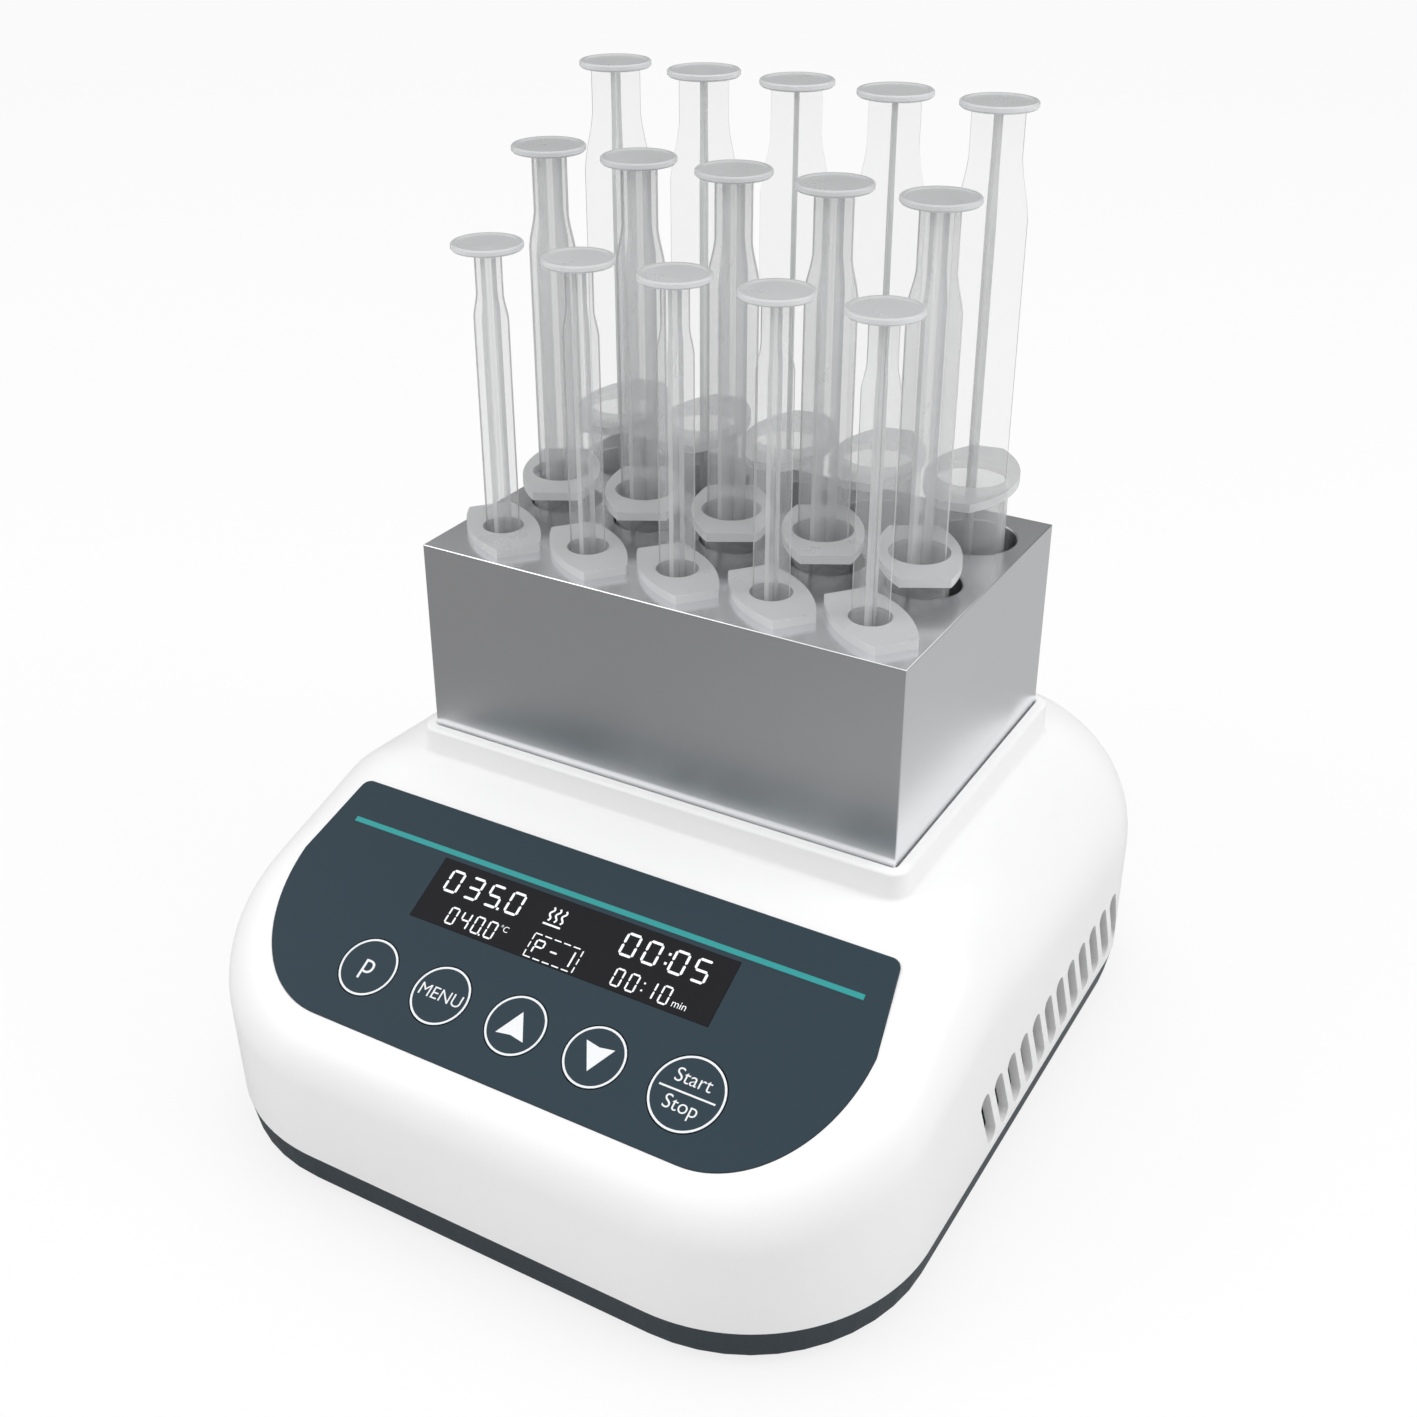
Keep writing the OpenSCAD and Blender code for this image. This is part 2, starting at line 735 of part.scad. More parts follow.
module thermal_cutout() {
    color(BLACK) at_block() translate([0, 0, well_bottom - 12]) {
        cylinder(d = cutout_d, h = 12);
        for (x = [-4, 4]) translate([x, 0, -4]) cube([0.8, 6, 9], center = true);
    }
}

// ---------------------------------------------------------------- block

// bar of size.x by size.y along z with chamfered corners
module chamfered_bar(x, y, length, c) {
    linear_extrude(length, center = true) polygon([
        [-x / 2 + c, -y / 2], [x / 2 - c, -y / 2], [x / 2, -y / 2 + c], [x / 2, y / 2 - c],
        [x / 2 - c, y / 2], [-x / 2 + c, y / 2], [-x / 2, y / 2 - c], [-x / 2, -y / 2 + c]
    ]);
}

module heat_block() {
    c = block_chamfer;
    color(ALUMINIUM) at_block() difference() {
        translate([0, 0, block_bottom + block_h / 2]) intersection() {
            chamfered_bar(block_w, block_d, block_h, c);
            rotate([0, 90, 0]) chamfered_bar(block_h, block_d, block_w, c);
            rotate([90, 0, 0]) chamfered_bar(block_w, block_h, block_d, c);
        }
        for (row = [0:2]) for (n = NUM) at_bore(row, n) translate([0, 0, block_top]) {
            translate([0, 0, -bore_depth]) cylinder(d = bore_d[row], h = bore_depth + 1);
            translate([0, 0, -bore_mouth]) cylinder(d1 = bore_d[row], d2 = bore_d[row] + 2 * bore_mouth,
                                                    h = bore_mouth);
        }
    }
}

// ---------------------------------------------------------------- syringes

// place of bore n in a row, from the middle of the block
module at_bore(row, n) {
    translate([(n - 3) * column_pitch, row_y[row], 0]) children();
}

// syringes stand loosely, against the left side of their bores
module at_syringe(row, n) {
    at_bore(row, n) translate([-barrel_lean[row], 0, 0]) children();
}

// long plate with bowed sides and straight ends
module flange_outline(half_l, half_w, end_half_w) {
    rise = half_w - end_half_w;
    bow_r = (half_l * half_l + rise * rise) / (2 * rise);
    intersection() {
        square([2 * half_l, 2 * half_w], center = true);
        translate([0, half_w - bow_r]) circle(bow_r, $fn = 180);
        translate([0, bow_r - half_w]) circle(bow_r, $fn = 180);
    }
}

module barrel(row, n) {
    ro = barrel_d[row] / 2;
    ri = ro - barrel_wall[row];
    l = barrel_l[row];
    t = barrel_end_t;
    nr = nozzle_d / 2;
    color(CLEAR) at_block() at_syringe(row, n) translate([0, 0, block_top + flange_top[row]])
        difference() {
        union() {
            rotate_extrude() polygon([
                [0, -l], [nr - 0.15, -l], [nr, -l + nozzle_l - 1], [nr + 1, -l + nozzle_l],
                [ro - 0.6, -l + nozzle_l + ro * 0.12], [ro, -l + nozzle_l + ro * 0.12 + 0.6],
                [ro, 0], [0, 0]
            ]);
            translate([0, 0, -flange_t]) linear_extrude(flange_t) rotate(flange_turn[row])
                flange_outline(flange_half_l[row], flange_half_w[row], flange_end_half_w[row]);
        }
        rotate_extrude() polygon([
            [0, -l - 1], [nr - 1, -l - 1], [nr - 1, -l + nozzle_l + t],
            [ri, -l + nozzle_l + t + ro * 0.12], [ri, -1], [ri + 0.8, 1], [0, 1]
        ]);
    }
}

module plunger(row, n) {
    ri = barrel_d[row] / 2 - barrel_wall[row];
    rib_r = rib_w[row] / 2;
    neck_r = neck_w[row] / 2;
    top = thumb_top[row];
    foot = flange_top[row] - rod_reach[row];
    under = top - thumb_t;
    neck_foot = under - neck_l[row];
    shoulder = neck_foot - neck_blend[row];
    sr = ri - stopper_clear;
    sl = stopper_l[row];
    color(CLEAR) at_block() at_syringe(row, n) translate([0, 0, block_top]) {
        // four ribs, drawn in to a neck under the thumb rest
        intersection() {
            translate([0, 0, foot]) linear_extrude(under - foot + 0.5) {
                rotate(rib_turn[row]) square([2 * rib_r, rib_t], center = true);
                rotate(rib_turn[row]) square([rib_t, 2 * rib_r], center = true);
            }
            rotate_extrude() polygon([
                [0, foot], [rib_r, foot], [rib_r, shoulder],
                [neck_r + 0.8 * (rib_r - neck_r), shoulder + 0.25 * neck_blend[row]],
                [neck_r + 0.2 * (rib_r - neck_r), neck_foot - 0.25 * neck_blend[row]],
                [neck_r, neck_foot], [neck_r, top], [0, top]
            ]);
        }
        // thumb rest with a raised rim
        translate([0, 0, under]) rotate_extrude() polygon([
            [0, 0], [thumb_d[row] / 2 - 0.5, 0], [thumb_d[row] / 2, 0.5],
            [thumb_d[row] / 2, thumb_t - 0.4], [thumb_d[row] / 2 - 0.4, thumb_t],
            [thumb_d[row] / 2 - 1.2, thumb_t], [thumb_d[row] / 2 - 1.6, thumb_t - 0.3],
            [0, thumb_t - 0.3]
        ]);
        // disc that carries the stopper
        translate([0, 0, foot - disc_t]) cylinder(r = ri - 0.4, h = disc_t);
    }
    // elastic stopper with two sealing beads
    color(SEAL) at_block() at_syringe(row, n)
        translate([0, 0, block_top + foot - disc_t - stopper_gap - sl]) rotate_extrude() polygon([
            [0, 0], [sr * 0.8, sr * 0.18], [sr, sr * 0.18 + 0.4], [sr, sr * 0.18 + 1.4],
            [sr - 0.5, sr * 0.18 + 2], [sr - 0.5, sl - 1.6], [sr, sl - 1.2], [sr, sl - 0.2],
            [sr - 0.3, sl], [0, sl]
        ]);
}

// ---------------------------------------------------------------- rear

// socket outline with its two lower corners cut off
module socket_outline(grow = 0) {
    x = socket_size.x / 2 + grow;
    y = socket_size.y / 2 + grow;
    c = 5;
    polygon([[-x + c, -y], [x - c, -y], [x, -y + c], [x, y], [-x, y], [-x, -y + c]]);
}

module power_inlet() {
    color(BLACK) on_rear(inlet_x) difference() {
        union() {
            linear_extrude(inlet_flange.z) rounded_rect([inlet_flange.x, inlet_flange.y], 4);
            translate([-inlet_body.x / 2, -inlet_body.y / 2, -inlet_body.z + inlet_flange.z])
                cube([inlet_body.x, inlet_body.y, inlet_body.z]);
        }
        translate([0, socket_z, inlet_flange.z - socket_depth]) linear_extrude(socket_depth + 1)
            socket_outline();
        translate([0, drawer_z, inlet_flange.z - drawer_size.z / 2 + 0.5])
            cube([drawer_size.x + 2 * part_gap, drawer_size.y + 2 * part_gap, drawer_size.z + 1],
                 center = true);
        for (p = pin_places) translate([p.x, socket_z + p.y, -inlet_body.z])
            linear_extrude(inlet_body.z) square([pin_size.x + 0.1, pin_size.y + 0.1], center = true);
        for (s = [-1, 1]) translate([s * inlet_screw_x, 0, -1])
            cylinder(d = screw_hole_d, h = 5, $fn = 24);
    }
}
pin_places = [[-pin_x, -pin_drop], [pin_x, -pin_drop], [0, pin_drop]];

module inlet_pins() {
    color(STEEL) on_rear(inlet_x) for (p = pin_places)
        translate([p.x, socket_z + p.y, -inlet_body.z - 4]) {
            linear_extrude(inlet_body.z + 4) square(pin_size, center = true);
        }
}

module fuse_drawer() {
    color(BLACK) on_rear(inlet_x) translate([0, drawer_z, inlet_flange.z - drawer_size.z]) difference() {
        union() {
            translate([-drawer_size.x / 2, -drawer_size.y / 2, 0]) cube(drawer_size);
            translate([-6, drawer_size.y / 2 - 3, drawer_size.z]) cube([12, 2, 0.8]);
        }
        translate([-9, -drawer_size.y / 2 - 1, 2]) cube([18, drawer_size.y - 1, 8]);
    }
}

module switch_housing() {
    w = switch_wall;
    color(BLACK) on_rear(rocker_x) difference() {
        union() {
            linear_extrude(switch_flange.z) rounded_rect([switch_flange.x, switch_flange.y], 1);
            translate([-switch_body.x / 2, -switch_body.y / 2, -switch_body.z])
                cube([switch_body.x, switch_body.y, switch_body.z + EPS]);
        }
        translate([-switch_body.x / 2 + w, -rocker_r - part_gap, -9])
            cube([switch_body.x - 2 * w, 2 * (rocker_r + part_gap), 20]);
        translate([0, 0, rocker_axis_y - pocket_y]) rotate([0, 90, 0])
            cylinder(d = rocker_axle_d + 0.1, h = switch_body.x, center = true, $fn = 32);
    }
}

module power_rocker() {
    w = switch_body.x - 2 * switch_wall - 2 * part_gap;
    color([0.12, 0.12, 0.13]) on_rear(rocker_x) translate([0, 0, rocker_axis_y - pocket_y])
        rotate([-rocker_swing, 0, 0]) rotate([0, 90, 0]) {
            intersection() {
                cylinder(r = rocker_r, h = w, center = true);
                linear_extrude(w, center = true) polygon([
                    [4, -5], [4, 5], [-1, 9], [-4.6, 9], [-3.2, 0], [-4.6, -9], [-1, -9]
                ]);
            }
            cylinder(d = rocker_axle_d, h = switch_body.x - 0.6, center = true, $fn = 32);
        }
}

// ---------------------------------------------------------------- output

top_housing();
base_tray();
rubber_feet();
housing_screws();
control_overlay();
display_window();
display_module();
key(key_x[0], key_d);  // key_program
key(key_x[1], key_d);  // key_menu
key(key_x[2], key_d);  // key_up
key(key_x[3], key_d);  // key_down
key(key_start_x, start_key_d);  // key_start_stop
key_switches();
control_board();
machine_screws();
power_board();
power_components();
board_standoffs();
heater_well();
well_screws();
heating_pad();
insulation_jacket();
temperature_probe();
thermal_cutout();
heat_block();
power_inlet();
inlet_pins();
fuse_drawer();
switch_housing();
power_rocker();
for (row = [0:2]) for (n = NUM) {
    barrel(row, n);
    plunger(row, n);
}
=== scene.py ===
# Finish of a dry block heater: moulded housing, control panel, aluminium block
# and three rows of loaded syringes. Metres, +Z up, front towards -Y.
import math

import bmesh
import bpy
from bpy.props import FloatProperty, FloatVectorProperty, IntProperty, PointerProperty
from mathutils import Matrix, Vector
from mathutils.bvhtree import BVHTree


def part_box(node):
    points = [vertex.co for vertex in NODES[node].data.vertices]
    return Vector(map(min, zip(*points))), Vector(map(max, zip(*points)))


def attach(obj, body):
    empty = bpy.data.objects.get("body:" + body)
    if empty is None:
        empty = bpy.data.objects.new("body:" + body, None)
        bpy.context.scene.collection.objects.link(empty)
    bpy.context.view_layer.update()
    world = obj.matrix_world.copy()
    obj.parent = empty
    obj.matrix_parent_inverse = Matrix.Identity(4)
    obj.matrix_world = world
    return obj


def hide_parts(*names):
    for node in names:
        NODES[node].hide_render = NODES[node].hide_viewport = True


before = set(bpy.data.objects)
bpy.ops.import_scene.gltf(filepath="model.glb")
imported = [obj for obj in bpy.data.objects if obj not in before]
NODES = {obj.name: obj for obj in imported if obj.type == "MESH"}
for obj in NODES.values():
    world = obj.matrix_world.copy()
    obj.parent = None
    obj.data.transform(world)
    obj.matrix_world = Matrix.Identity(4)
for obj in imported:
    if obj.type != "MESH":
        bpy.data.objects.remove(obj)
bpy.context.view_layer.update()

bl_info = {
    "name": "Dry block heater finish",
    "version": (1, 0, 0),
    "blender": (4, 5, 0),
    "location": "View3D > Sidebar > Heater",
    "description": "Finishes, printed panel and studio for a dry block heater",
    "category": "Object",
}

MM = 0.001
KEYS = ("key_program", "key_menu", "key_up", "key_down", "key_start_stop")
SIZES = ("small", "medium", "large")  # rows of syringes, front to back
# signs of a rectangle's corners, and the angle at which the arc of each one starts
CORNERS = ((1, 1, 0), (-1, 1, 90), (-1, -1, 180), (1, -1, 270))
# lays a prism down, so that its height runs towards -Y
LAID_DOWN = Matrix.Rotation(math.radians(90), 4, "X")


def linear(red, green, blue):
    """Linear colour of 8 bit display values."""
    parts = [c / 255 for c in (red, green, blue)]
    return tuple(c / 12.92 if c <= 0.04045 else ((c + 0.055) / 1.055) ** 2.4 for c in parts)


def colour(name, description, *display):
    """A colour property whose default is given in 8 bit display values."""
    return FloatVectorProperty(
        name=name, description=description, subtype="COLOR", size=3,
        min=0, max=1, default=linear(*display),
    )


def scalar(name, description, default, **kind):
    """A number property, with its unit or subtype in kind."""
    return FloatProperty(name=name, description=description, default=default, **kind)


def length(name, description, default_mm):
    """A length property whose default is given in millimetres."""
    return scalar(name, description, default_mm * MM, unit="LENGTH")


def angle(name, description, default_degrees):
    """An angle property whose default is given in degrees."""
    return scalar(name, description, math.radians(default_degrees), subtype="ANGLE")


# ------------------------------------------------------------------ settings


class HeaterHousingSizes(bpy.types.PropertyGroup):
    """Sizes of the moulded housing."""

    front_corner: length("Front corners", "Plan radius of the front corners", 54.5)
    rear_corner: length("Rear corners", "Plan radius of the rear corners", 54)
    top: length("Top", "Height of the flat top round the block", 90.5)
    knee_y: length("Knee", "Front edge of the flat top", -40.5)
    wall: length("Wall", "Wall thickness of the housing", 3)
    shoulder: length("Shoulders", "Edge radius of the rear and side shoulders", 39)
    knee: length("Knee edge", "Edge radius where the panel meets the flat top", 27)
    front_edge: length("Front edge", "Edge radius round the front of the panel", 17.5)
    collar_wall: length("Collar wall", "Wall thickness of the collar round the block", 3.5)
    collar_corner: length("Collar corners", "Plan radius of the collar's corners", 5)
    collar_round: length("Collar edge", "Radius of the collar's upper outer edge", 1.2)
    collar_fillet: length("Collar fillet", "Radius at the foot of the collar", 1.6)
    block_gap: length("Block gap", "Gap between the collar and the block", 0.4)
    tilt: angle("Panel tilt", "Slope of the control panel", 26)
    steps: IntProperty(
        name="Steps", description="Steps in a quarter turn of the rounded forms",
        default=24, min=6, max=64,
    )


class HeaterVentSizes(bpy.types.PropertyGroup):
    """Sizes of the slanted vents in the sides."""

    count: IntProperty(name="Slots", description="Slots in each side", default=12, min=1)
    pitch: length("Pitch", "Distance from slot to slot", 9.65)
    width: length("Width", "Width of a slot", 5.6)
    height: length("Height", "Height of a slot", 22.8)
    slant: length("Slant", "Rearward shift of a slot's foot", 8)
    middle_y: length("Place", "Middle of the row of slots", 20.97)
    middle_z: length("Level", "Middle height of the slots", 28.9)


class HeaterPanelSizes(bpy.types.PropertyGroup):
    """Sizes of the overlay and what is printed on it."""

    half_width: length("Half width", "Half width of the overlay at its widest", 92.6)
    top_half_width: length("Top half width", "Half width of the overlay's top edge", 88.4)
    corner_x: length("Corner half width", "Half axis of the lower corners across", 34.6)
    corner_y: length("Corner half height", "Half axis of the lower corners upwards", 44)
    top_corner: length("Top corners", "Radius of the two upper corners", 3)
    clearance: length("Clearance", "Gap round the overlay in its recess", 0.15)
    key_gap: length("Key gap", "Gap round a key", 0.3)
    ink: length("Ink", "Thickness of the printed ink", 0.04)
    line_half: length("Line", "Half length of the coloured line", 83.1)
    line_width: length("Line width", "Width of the coloured line", 1.6)
    line_rise: length("Line place", "Line above the middle of the display", 12.2)
    ring_width: length("Ring", "Width of the white rings round the keys", 0.6)


class HeaterBlockSizes(bpy.types.PropertyGroup):
    """Sizes of the aluminium block."""

    pitch: length("Pitch", "Distance from bore to bore along a row", 29.45)
    bores: FloatVectorProperty(
        name="Bores", description="Bore diameters, front to back", unit="LENGTH", size=3,
        default=(16 * MM, 21.4 * MM, 25.4 * MM),
    )
    depth: length("Depth", "Depth of the bores", 84)
    edge: length("Edge", "Radius of the block's edges", 0.3)
    mouth: length("Mouth", "Chamfer at the mouth of a bore", 0.35)


class HeaterColours(bpy.types.PropertyGroup):
    """Colours of the finishes."""

    housing: colour("Housing", "White moulded housing", 244, 244, 244)
    overlay: colour("Overlay", "Printed overlay and keys", 40, 57, 67)
    slate: colour("Tray", "Base tray", 50, 60, 67)
    teal: colour("Line", "Coloured line on the overlay", 18, 150, 149)
    ink: colour("Ink", "White print on keys and overlay", 236, 238, 240)
    display: colour("Display", "Display window", 26, 26, 29)
    aluminium: colour("Aluminium", "Satin aluminium of the block", 243, 244, 246)
    barrel: colour("Barrels", "Natural plastic of the barrels", 208, 209, 210)
    plunger: colour("Plungers", "Natural plastic of the plungers", 232, 233, 234)
    black: colour("Black", "Black fittings at the rear", 26, 26, 28)


class HeaterStudio(bpy.types.PropertyGroup):
    """Camera, lamps and surroundings."""

    camera_place: FloatVectorProperty(
        name="Camera", description="Place of the camera", subtype="TRANSLATION",
        unit="LENGTH", default=(0.2282, -0.39364, 0.3723),
    )
    azimuth: angle("Azimuth", "Camera's turn round the heater", 29.953)
    elevation: angle("Elevation", "Camera's angle above the horizon", 27.964)
    lens: scalar("Lens", "Focal length", 45.327, unit="CAMERA")
    shift_x: scalar("Shift across", "Shift of the frame across", 0.0014)
    shift_y: scalar("Shift up", "Shift of the frame upwards", -0.0406)
    horizon: scalar("Horizon", "Strength of the light from the sides", 0.15)
    zenith: scalar("Zenith", "Strength of the light from above", 1.3)
    floor_near: scalar("Floor, front left", "Strength of the floor's reflection in front", 0.24)
    floor_far: scalar("Floor, rear right", "Strength of the floor's reflection behind", 0.5)
    key: scalar("Key lamp", "Power of the key lamp", 6, unit="POWER")
    fill: scalar("Fill lamp", "Power of the fill lamp", 5.2, unit="POWER")


# ------------------------------------------------------------- shader writing


def operator(operation, swapped=False):
    """A method of Value that adds a Math node."""
    def method(self, other):
        return self.graph.calc(operation, *((other, self) if swapped else (self, other)))
    return method


class Value:
    """Output of a shader node. Arithmetic on it adds Math nodes."""

    def __init__(self, graph, socket):
        self.graph, self.socket = graph, socket

    __add__ = __radd__ = operator("ADD")
    __sub__, __rsub__ = operator("SUBTRACT"), operator("SUBTRACT", swapped=True)
    __mul__, __truediv__ = operator("MULTIPLY"), operator("DIVIDE")
    __pow__, __gt__ = operator("POWER"), operator("GREATER_THAN")


class Graph:
    """A node tree that is written with calls and arithmetic."""

    def __init__(self, tree):
        self.tree = tree

    def add(self, kind, settings=None, sockets=None, output=0):
        """Adds a node: its settings first, then the values or links of its sockets."""
        node = self.tree.nodes.new("ShaderNode" + kind)
        for key, value in (settings or {}).items():
            setattr(node, key, value)
        for key, value in (sockets or {}).items():
            self.feed(self.find(node.inputs, key), value)
        return Value(self, self.find(node.outputs, output))

    @staticmethod
    def find(sockets, key):
        if isinstance(key, int):
            return sockets[key]
        return next(s for s in sockets if key in (s.identifier, s.name))

    def feed(self, socket, value):
        if isinstance(value, Value):
            self.tree.links.new(value.socket, socket)
        elif socket.type == "RGBA" and len(value) == 3:
            socket.default_value = (*value, 1)
        else:
            socket.default_value = value

    def calc(self, operation, *inputs):
        """Math node with the given inputs."""
        return self.add("Math", {"operation": operation}, dict(enumerate(inputs)))

    def part(self, vector, axis):
        """X, Y or Z of a vector."""
        return self.add("SeparateXYZ", {}, {"Vector": vector}, axis)

    def mix(self, factor, first, second):
        """Colour between first and second."""
        return self.add(
            "Mix", {"data_type": "RGBA"},
            {"Factor_Float": factor, "A_Color": first, "B_Color": second}, "Result_Color",
        )

    def blend(self, factor, first, second):
        """Shader between first and second."""
        return self.add("MixShader", {}, {0: factor, 1: first, 2: second})

    def end(self, kind, shader):
        """Feeds the output of a material or world."""
        out = self.tree.nodes.new("ShaderNodeOutput" + kind)
        self.feed(out.inputs["Surface"], shader)

    def white(self, kind, strength):
        """Emission or Background shader that gives white light."""
        return self.add(kind, {}, {"Color": (1, 1, 1), "Strength": strength})

    def spread(self, value, low, high, to_low=0.0, to_high=1.0):
        """Value carried smoothly from one range to another and held there."""
        return self.add("MapRange", {"interpolation_type": "SMOOTHSTEP"}, {
            "Value": value, "From Min": low, "From Max": high, "To Min": to_low, "To Max": to_high,
        })


class Finish(Graph):
    """A procedural material on one Principled surface."""

    NOISE = (0.3, 0.7)  # most of a noise's values lie between these

    def __init__(self, name, **constants):
        self.material = bpy.data.materials.new(name)
        self.material.use_nodes = True
        super().__init__(self.material.node_tree)
        self.surface = next(n for n in self.tree.nodes if n.type == "BSDF_PRINCIPLED")
        for key, value in constants.items():
            self.set(key.replace("_", " "), value)

    def set(self, socket, value):
        self.feed(self.surface.inputs[socket], value)

    def place(self, factors=(1, 1, 1)):
        """Place on the piece in metres, each axis times its factor."""
        at = self.add("TexCoord", output="Object")
        return self.add("Mapping", {"vector_type": "POINT"}, {"Vector": at, "Scale": factors})

    def noise(self, scale, detail=2.0, factors=(1, 1, 1)):
        return self.add("TexNoise", {"noise_dimensions": "3D"}, {
            "Vector": self.place(factors), "Scale": scale, "Detail": detail, "Roughness": 0.55,
        })

    def relief(self, height, depth_mm):
        """Feeds the surface's normal from a height that spans depth_mm."""
        sockets = {"Strength": 1.0, "Distance": depth_mm * MM, "Height": height}
        self.set("Normal", self.add("Bump", {}, sockets))

    def gloss(self, noise, middle, swing):
        """Roughness that swings about its middle with a noise."""
        self.set("Roughness", self.spread(noise, *self.NOISE, middle - swing, middle + swing))

    def shades(self, base, factor, darker, lighter):
        """Base colour that runs from darker to lighter times base."""
        low = tuple(min(1, c * darker) for c in base)
        high = tuple(min(1, c * lighter) for c in base)
        self.set("Base Color", self.mix(factor, low, high))


def surface(
    name, base, roughness, fine, shades, swing, depth=0.0, slow=14.0, detail=2.0,
    factors=(1, 1, 1), shade_share=0.0, gloss_share=0.0, **constants,
):
    """Opaque surface whose shade and roughness change with a slow and a fine noise,
    of which the slow one takes a share, and whose relief, in mm, is the fine one."""
    look = Finish(name, **constants)
    slow_noise, fine_noise = look.noise(slow), look.noise(fine, detail, factors)

    def blend(share):
        return slow_noise * share + fine_noise * (1 - share)
    look.shades(base, blend(shade_share), *shades)
    look.gloss(blend(gloss_share), roughness, swing)
    if depth:
        look.relief(fine_noise, depth)
    return look.material


def moulded(name, base, roughness, grain=900.0, depth=0.03, **constants):
    """Moulded plastic with a fine spark-eroded grain and slow changes of gloss."""
    return surface(
        name, base, roughness, fine=grain, shades=(0.975, 1.02), swing=0.05, depth=depth,
        shade_share=1.0, gloss_share=0.5, **constants,
    )


def machined(name, base, roughness, factors=(1, 1, 1)):
    """Metal with fine tool lines, which run along an axis whose factor is small."""
    return surface(
        name, base, roughness, fine=900.0, shades=(0.95, 1.04), swing=0.045, depth=0.004,
        slow=20.0, factors=factors, shade_share=0.6, Metallic=1.0,
    )


def satin_aluminium(name, base, roughness):
    """Metal with a fine satin grain and slow changes of gloss."""
    return surface(
        name, base, roughness, fine=2600.0, shades=(0.96, 1.02), swing=0.02, depth=0.00004,
        slow=9.0, shade_share=0.7, gloss_share=0.7, Metallic=1.0,
    )


def printed(name, base, glow=0.0):
    """Screen printed ink, slightly uneven in density."""
    return surface(
        name, base, 0.45, fine=1500.0, shades=(0.94, 1.03), swing=0.05,
        Emission_Strength=glow, Emission_Color=base,
    )


def overlay_film(name, base):
    """Printed polyester film with a fine velvet texture."""
    return surface(
        name, base, 0.43, fine=1800.0, detail=3.0, shades=(0.96, 1.05), swing=0.05,
        depth=0.006, slow=9.0, shade_share=1.0, Specular_IOR_Level=0.2,
    )


def dark_glass(name, base):
    """Dark tinted display window with a faint mottle under a smooth face."""
    return surface(
        name, base, 0.23, fine=120.0, detail=3.0, shades=(0.9, 1.1), swing=0.03,
        Specular_IOR_Level=0.12,
    )


class ClearPlastic(Finish):
    """See-through plastic of one row of syringes. row gives the row's pitch, the x
    and y of its third syringe, and the height solid above which a piece is thick."""

    ONSET = 0.1 * MM  # height over which the thick part sets in
    LEVEL = (0.55, 0.9)  # upright part of the normal over which a face turns level
    COVER = (0.04, 0.97)  # least and most cover

    def __init__(self, name, row):
        super().__init__(name, Specular_IOR_Level=0.5)
        self.cloud, self.grain = self.noise(60.0), self.noise(1400.0)
        place, normal = self.place(), self.add("NewGeometry", output="Normal")
        self.height = self.part(place, "Z")
        self.thick = self.spread(self.height, row["solid"] - self.ONSET, row["solid"])
        # 1 on level faces; 0 on faces seen straight on, rising to 1 at an outline
        self.level = self.spread(self.calc("ABSOLUTE", self.part(normal, "Z")), *self.LEVEL)
        self.graze = self.add("LayerWeight", {}, {"Blend": 0.5}, "Facing") ** 3
        # distance from the nearest syringe's axis, and how much a face looks away
        # from it: 1 straight away, -1 straight at it
        half = row["pitch"] / 2
        x = self.calc("WRAP", self.part(place, "X") - row["x"], half, -half)
        y = self.part(place, "Y") - row["y"]
        self.out = self.calc("SQRT", x * x + y * y)
        self.outward = (x * self.part(normal, "X") + y * self.part(normal, "Y")) / self.out

    def close(self, base, bright, darker, lighter, cover):
        """Feeds the surface and gives its material."""
        least, most = self.COVER
        self.shades(base, bright, darker, lighter)
        self.gloss(self.cloud * 0.8 + self.grain * 0.2, 0.29, 0.02)
        self.set("Alpha", self.add("Clamp", {}, {"Value": cover, "Min": least, "Max": most}))
        self.relief(self.grain, 0.0001)
        return self.material


def natural_plastic(name, base, row, walls, solids):
    """Plastic of the barrels. walls are the covers of thin walls seen straight on,
    at a grazing angle and inside the mouth, and solids is that of the thick parts."""
    look = ClearPlastic(name, row)
    rim = look.thick * (look.out > row["radius"])
    # the mouth is painted lighter inside and given more cover, down to a little below the finger
    # flange: painted light that fills its dark inside
    none, full = row["solid"] - 9 * MM, row["solid"] - 3 * MM
    sideways, inward = -0.3, -0.7
    mouth = look.spread(look.outward, sideways, inward) * look.spread(look.height, none, full)
    cover = walls[0] + look.graze * (walls[1] - walls[0])
    cover = cover + mouth * (walls[2] - cover)
    cover = cover + rim * (solids - cover)
    # shade from 0 to 1, with painted light and shade: rims are painted lighter on their sides and
    # darker on top, and the mouth is painted lighter inside
    bright = 0.5 + (look.cloud - 0.5) * 0.12 + rim * (0.4 - look.level * 0.75) + mouth * 0.4
    return look.close(base, bright, 0.82, 1.2, cover)


def frosted_rod(name, base, row, plate, edge, disc):
    """Plastic of the rods: the cover of their plates' broad faces, of the plates'
    narrow edges, and of the thumb rests."""
    look = ClearPlastic(name, row)
    # the plates' narrow edges look away from the axis, which they stand clear of
    aslant, straight, clear = 0.6, 0.85, 1.5 * MM
    away = look.spread(look.calc("ABSOLUTE", look.outward), aslant, straight)
    narrow = away * (look.out > clear)
    cover = plate + look.graze * 0.5 + narrow * (edge - plate)
    cover = cover + look.thick * (disc - cover)
    # shade from 0 to 1, with painted shade: the tops of the thumb rests and the plates' narrow
    # edges are painted dark, and the rests' sides a little lighter
    bright = (
        0.6 + (look.cloud - 0.5) * 0.1 + look.thick * (0.1 - look.level * 0.65)
        - (1 - look.thick) * narrow * 0.3
    )
    return look.close(base, bright, 0.64, 1.1, cover)


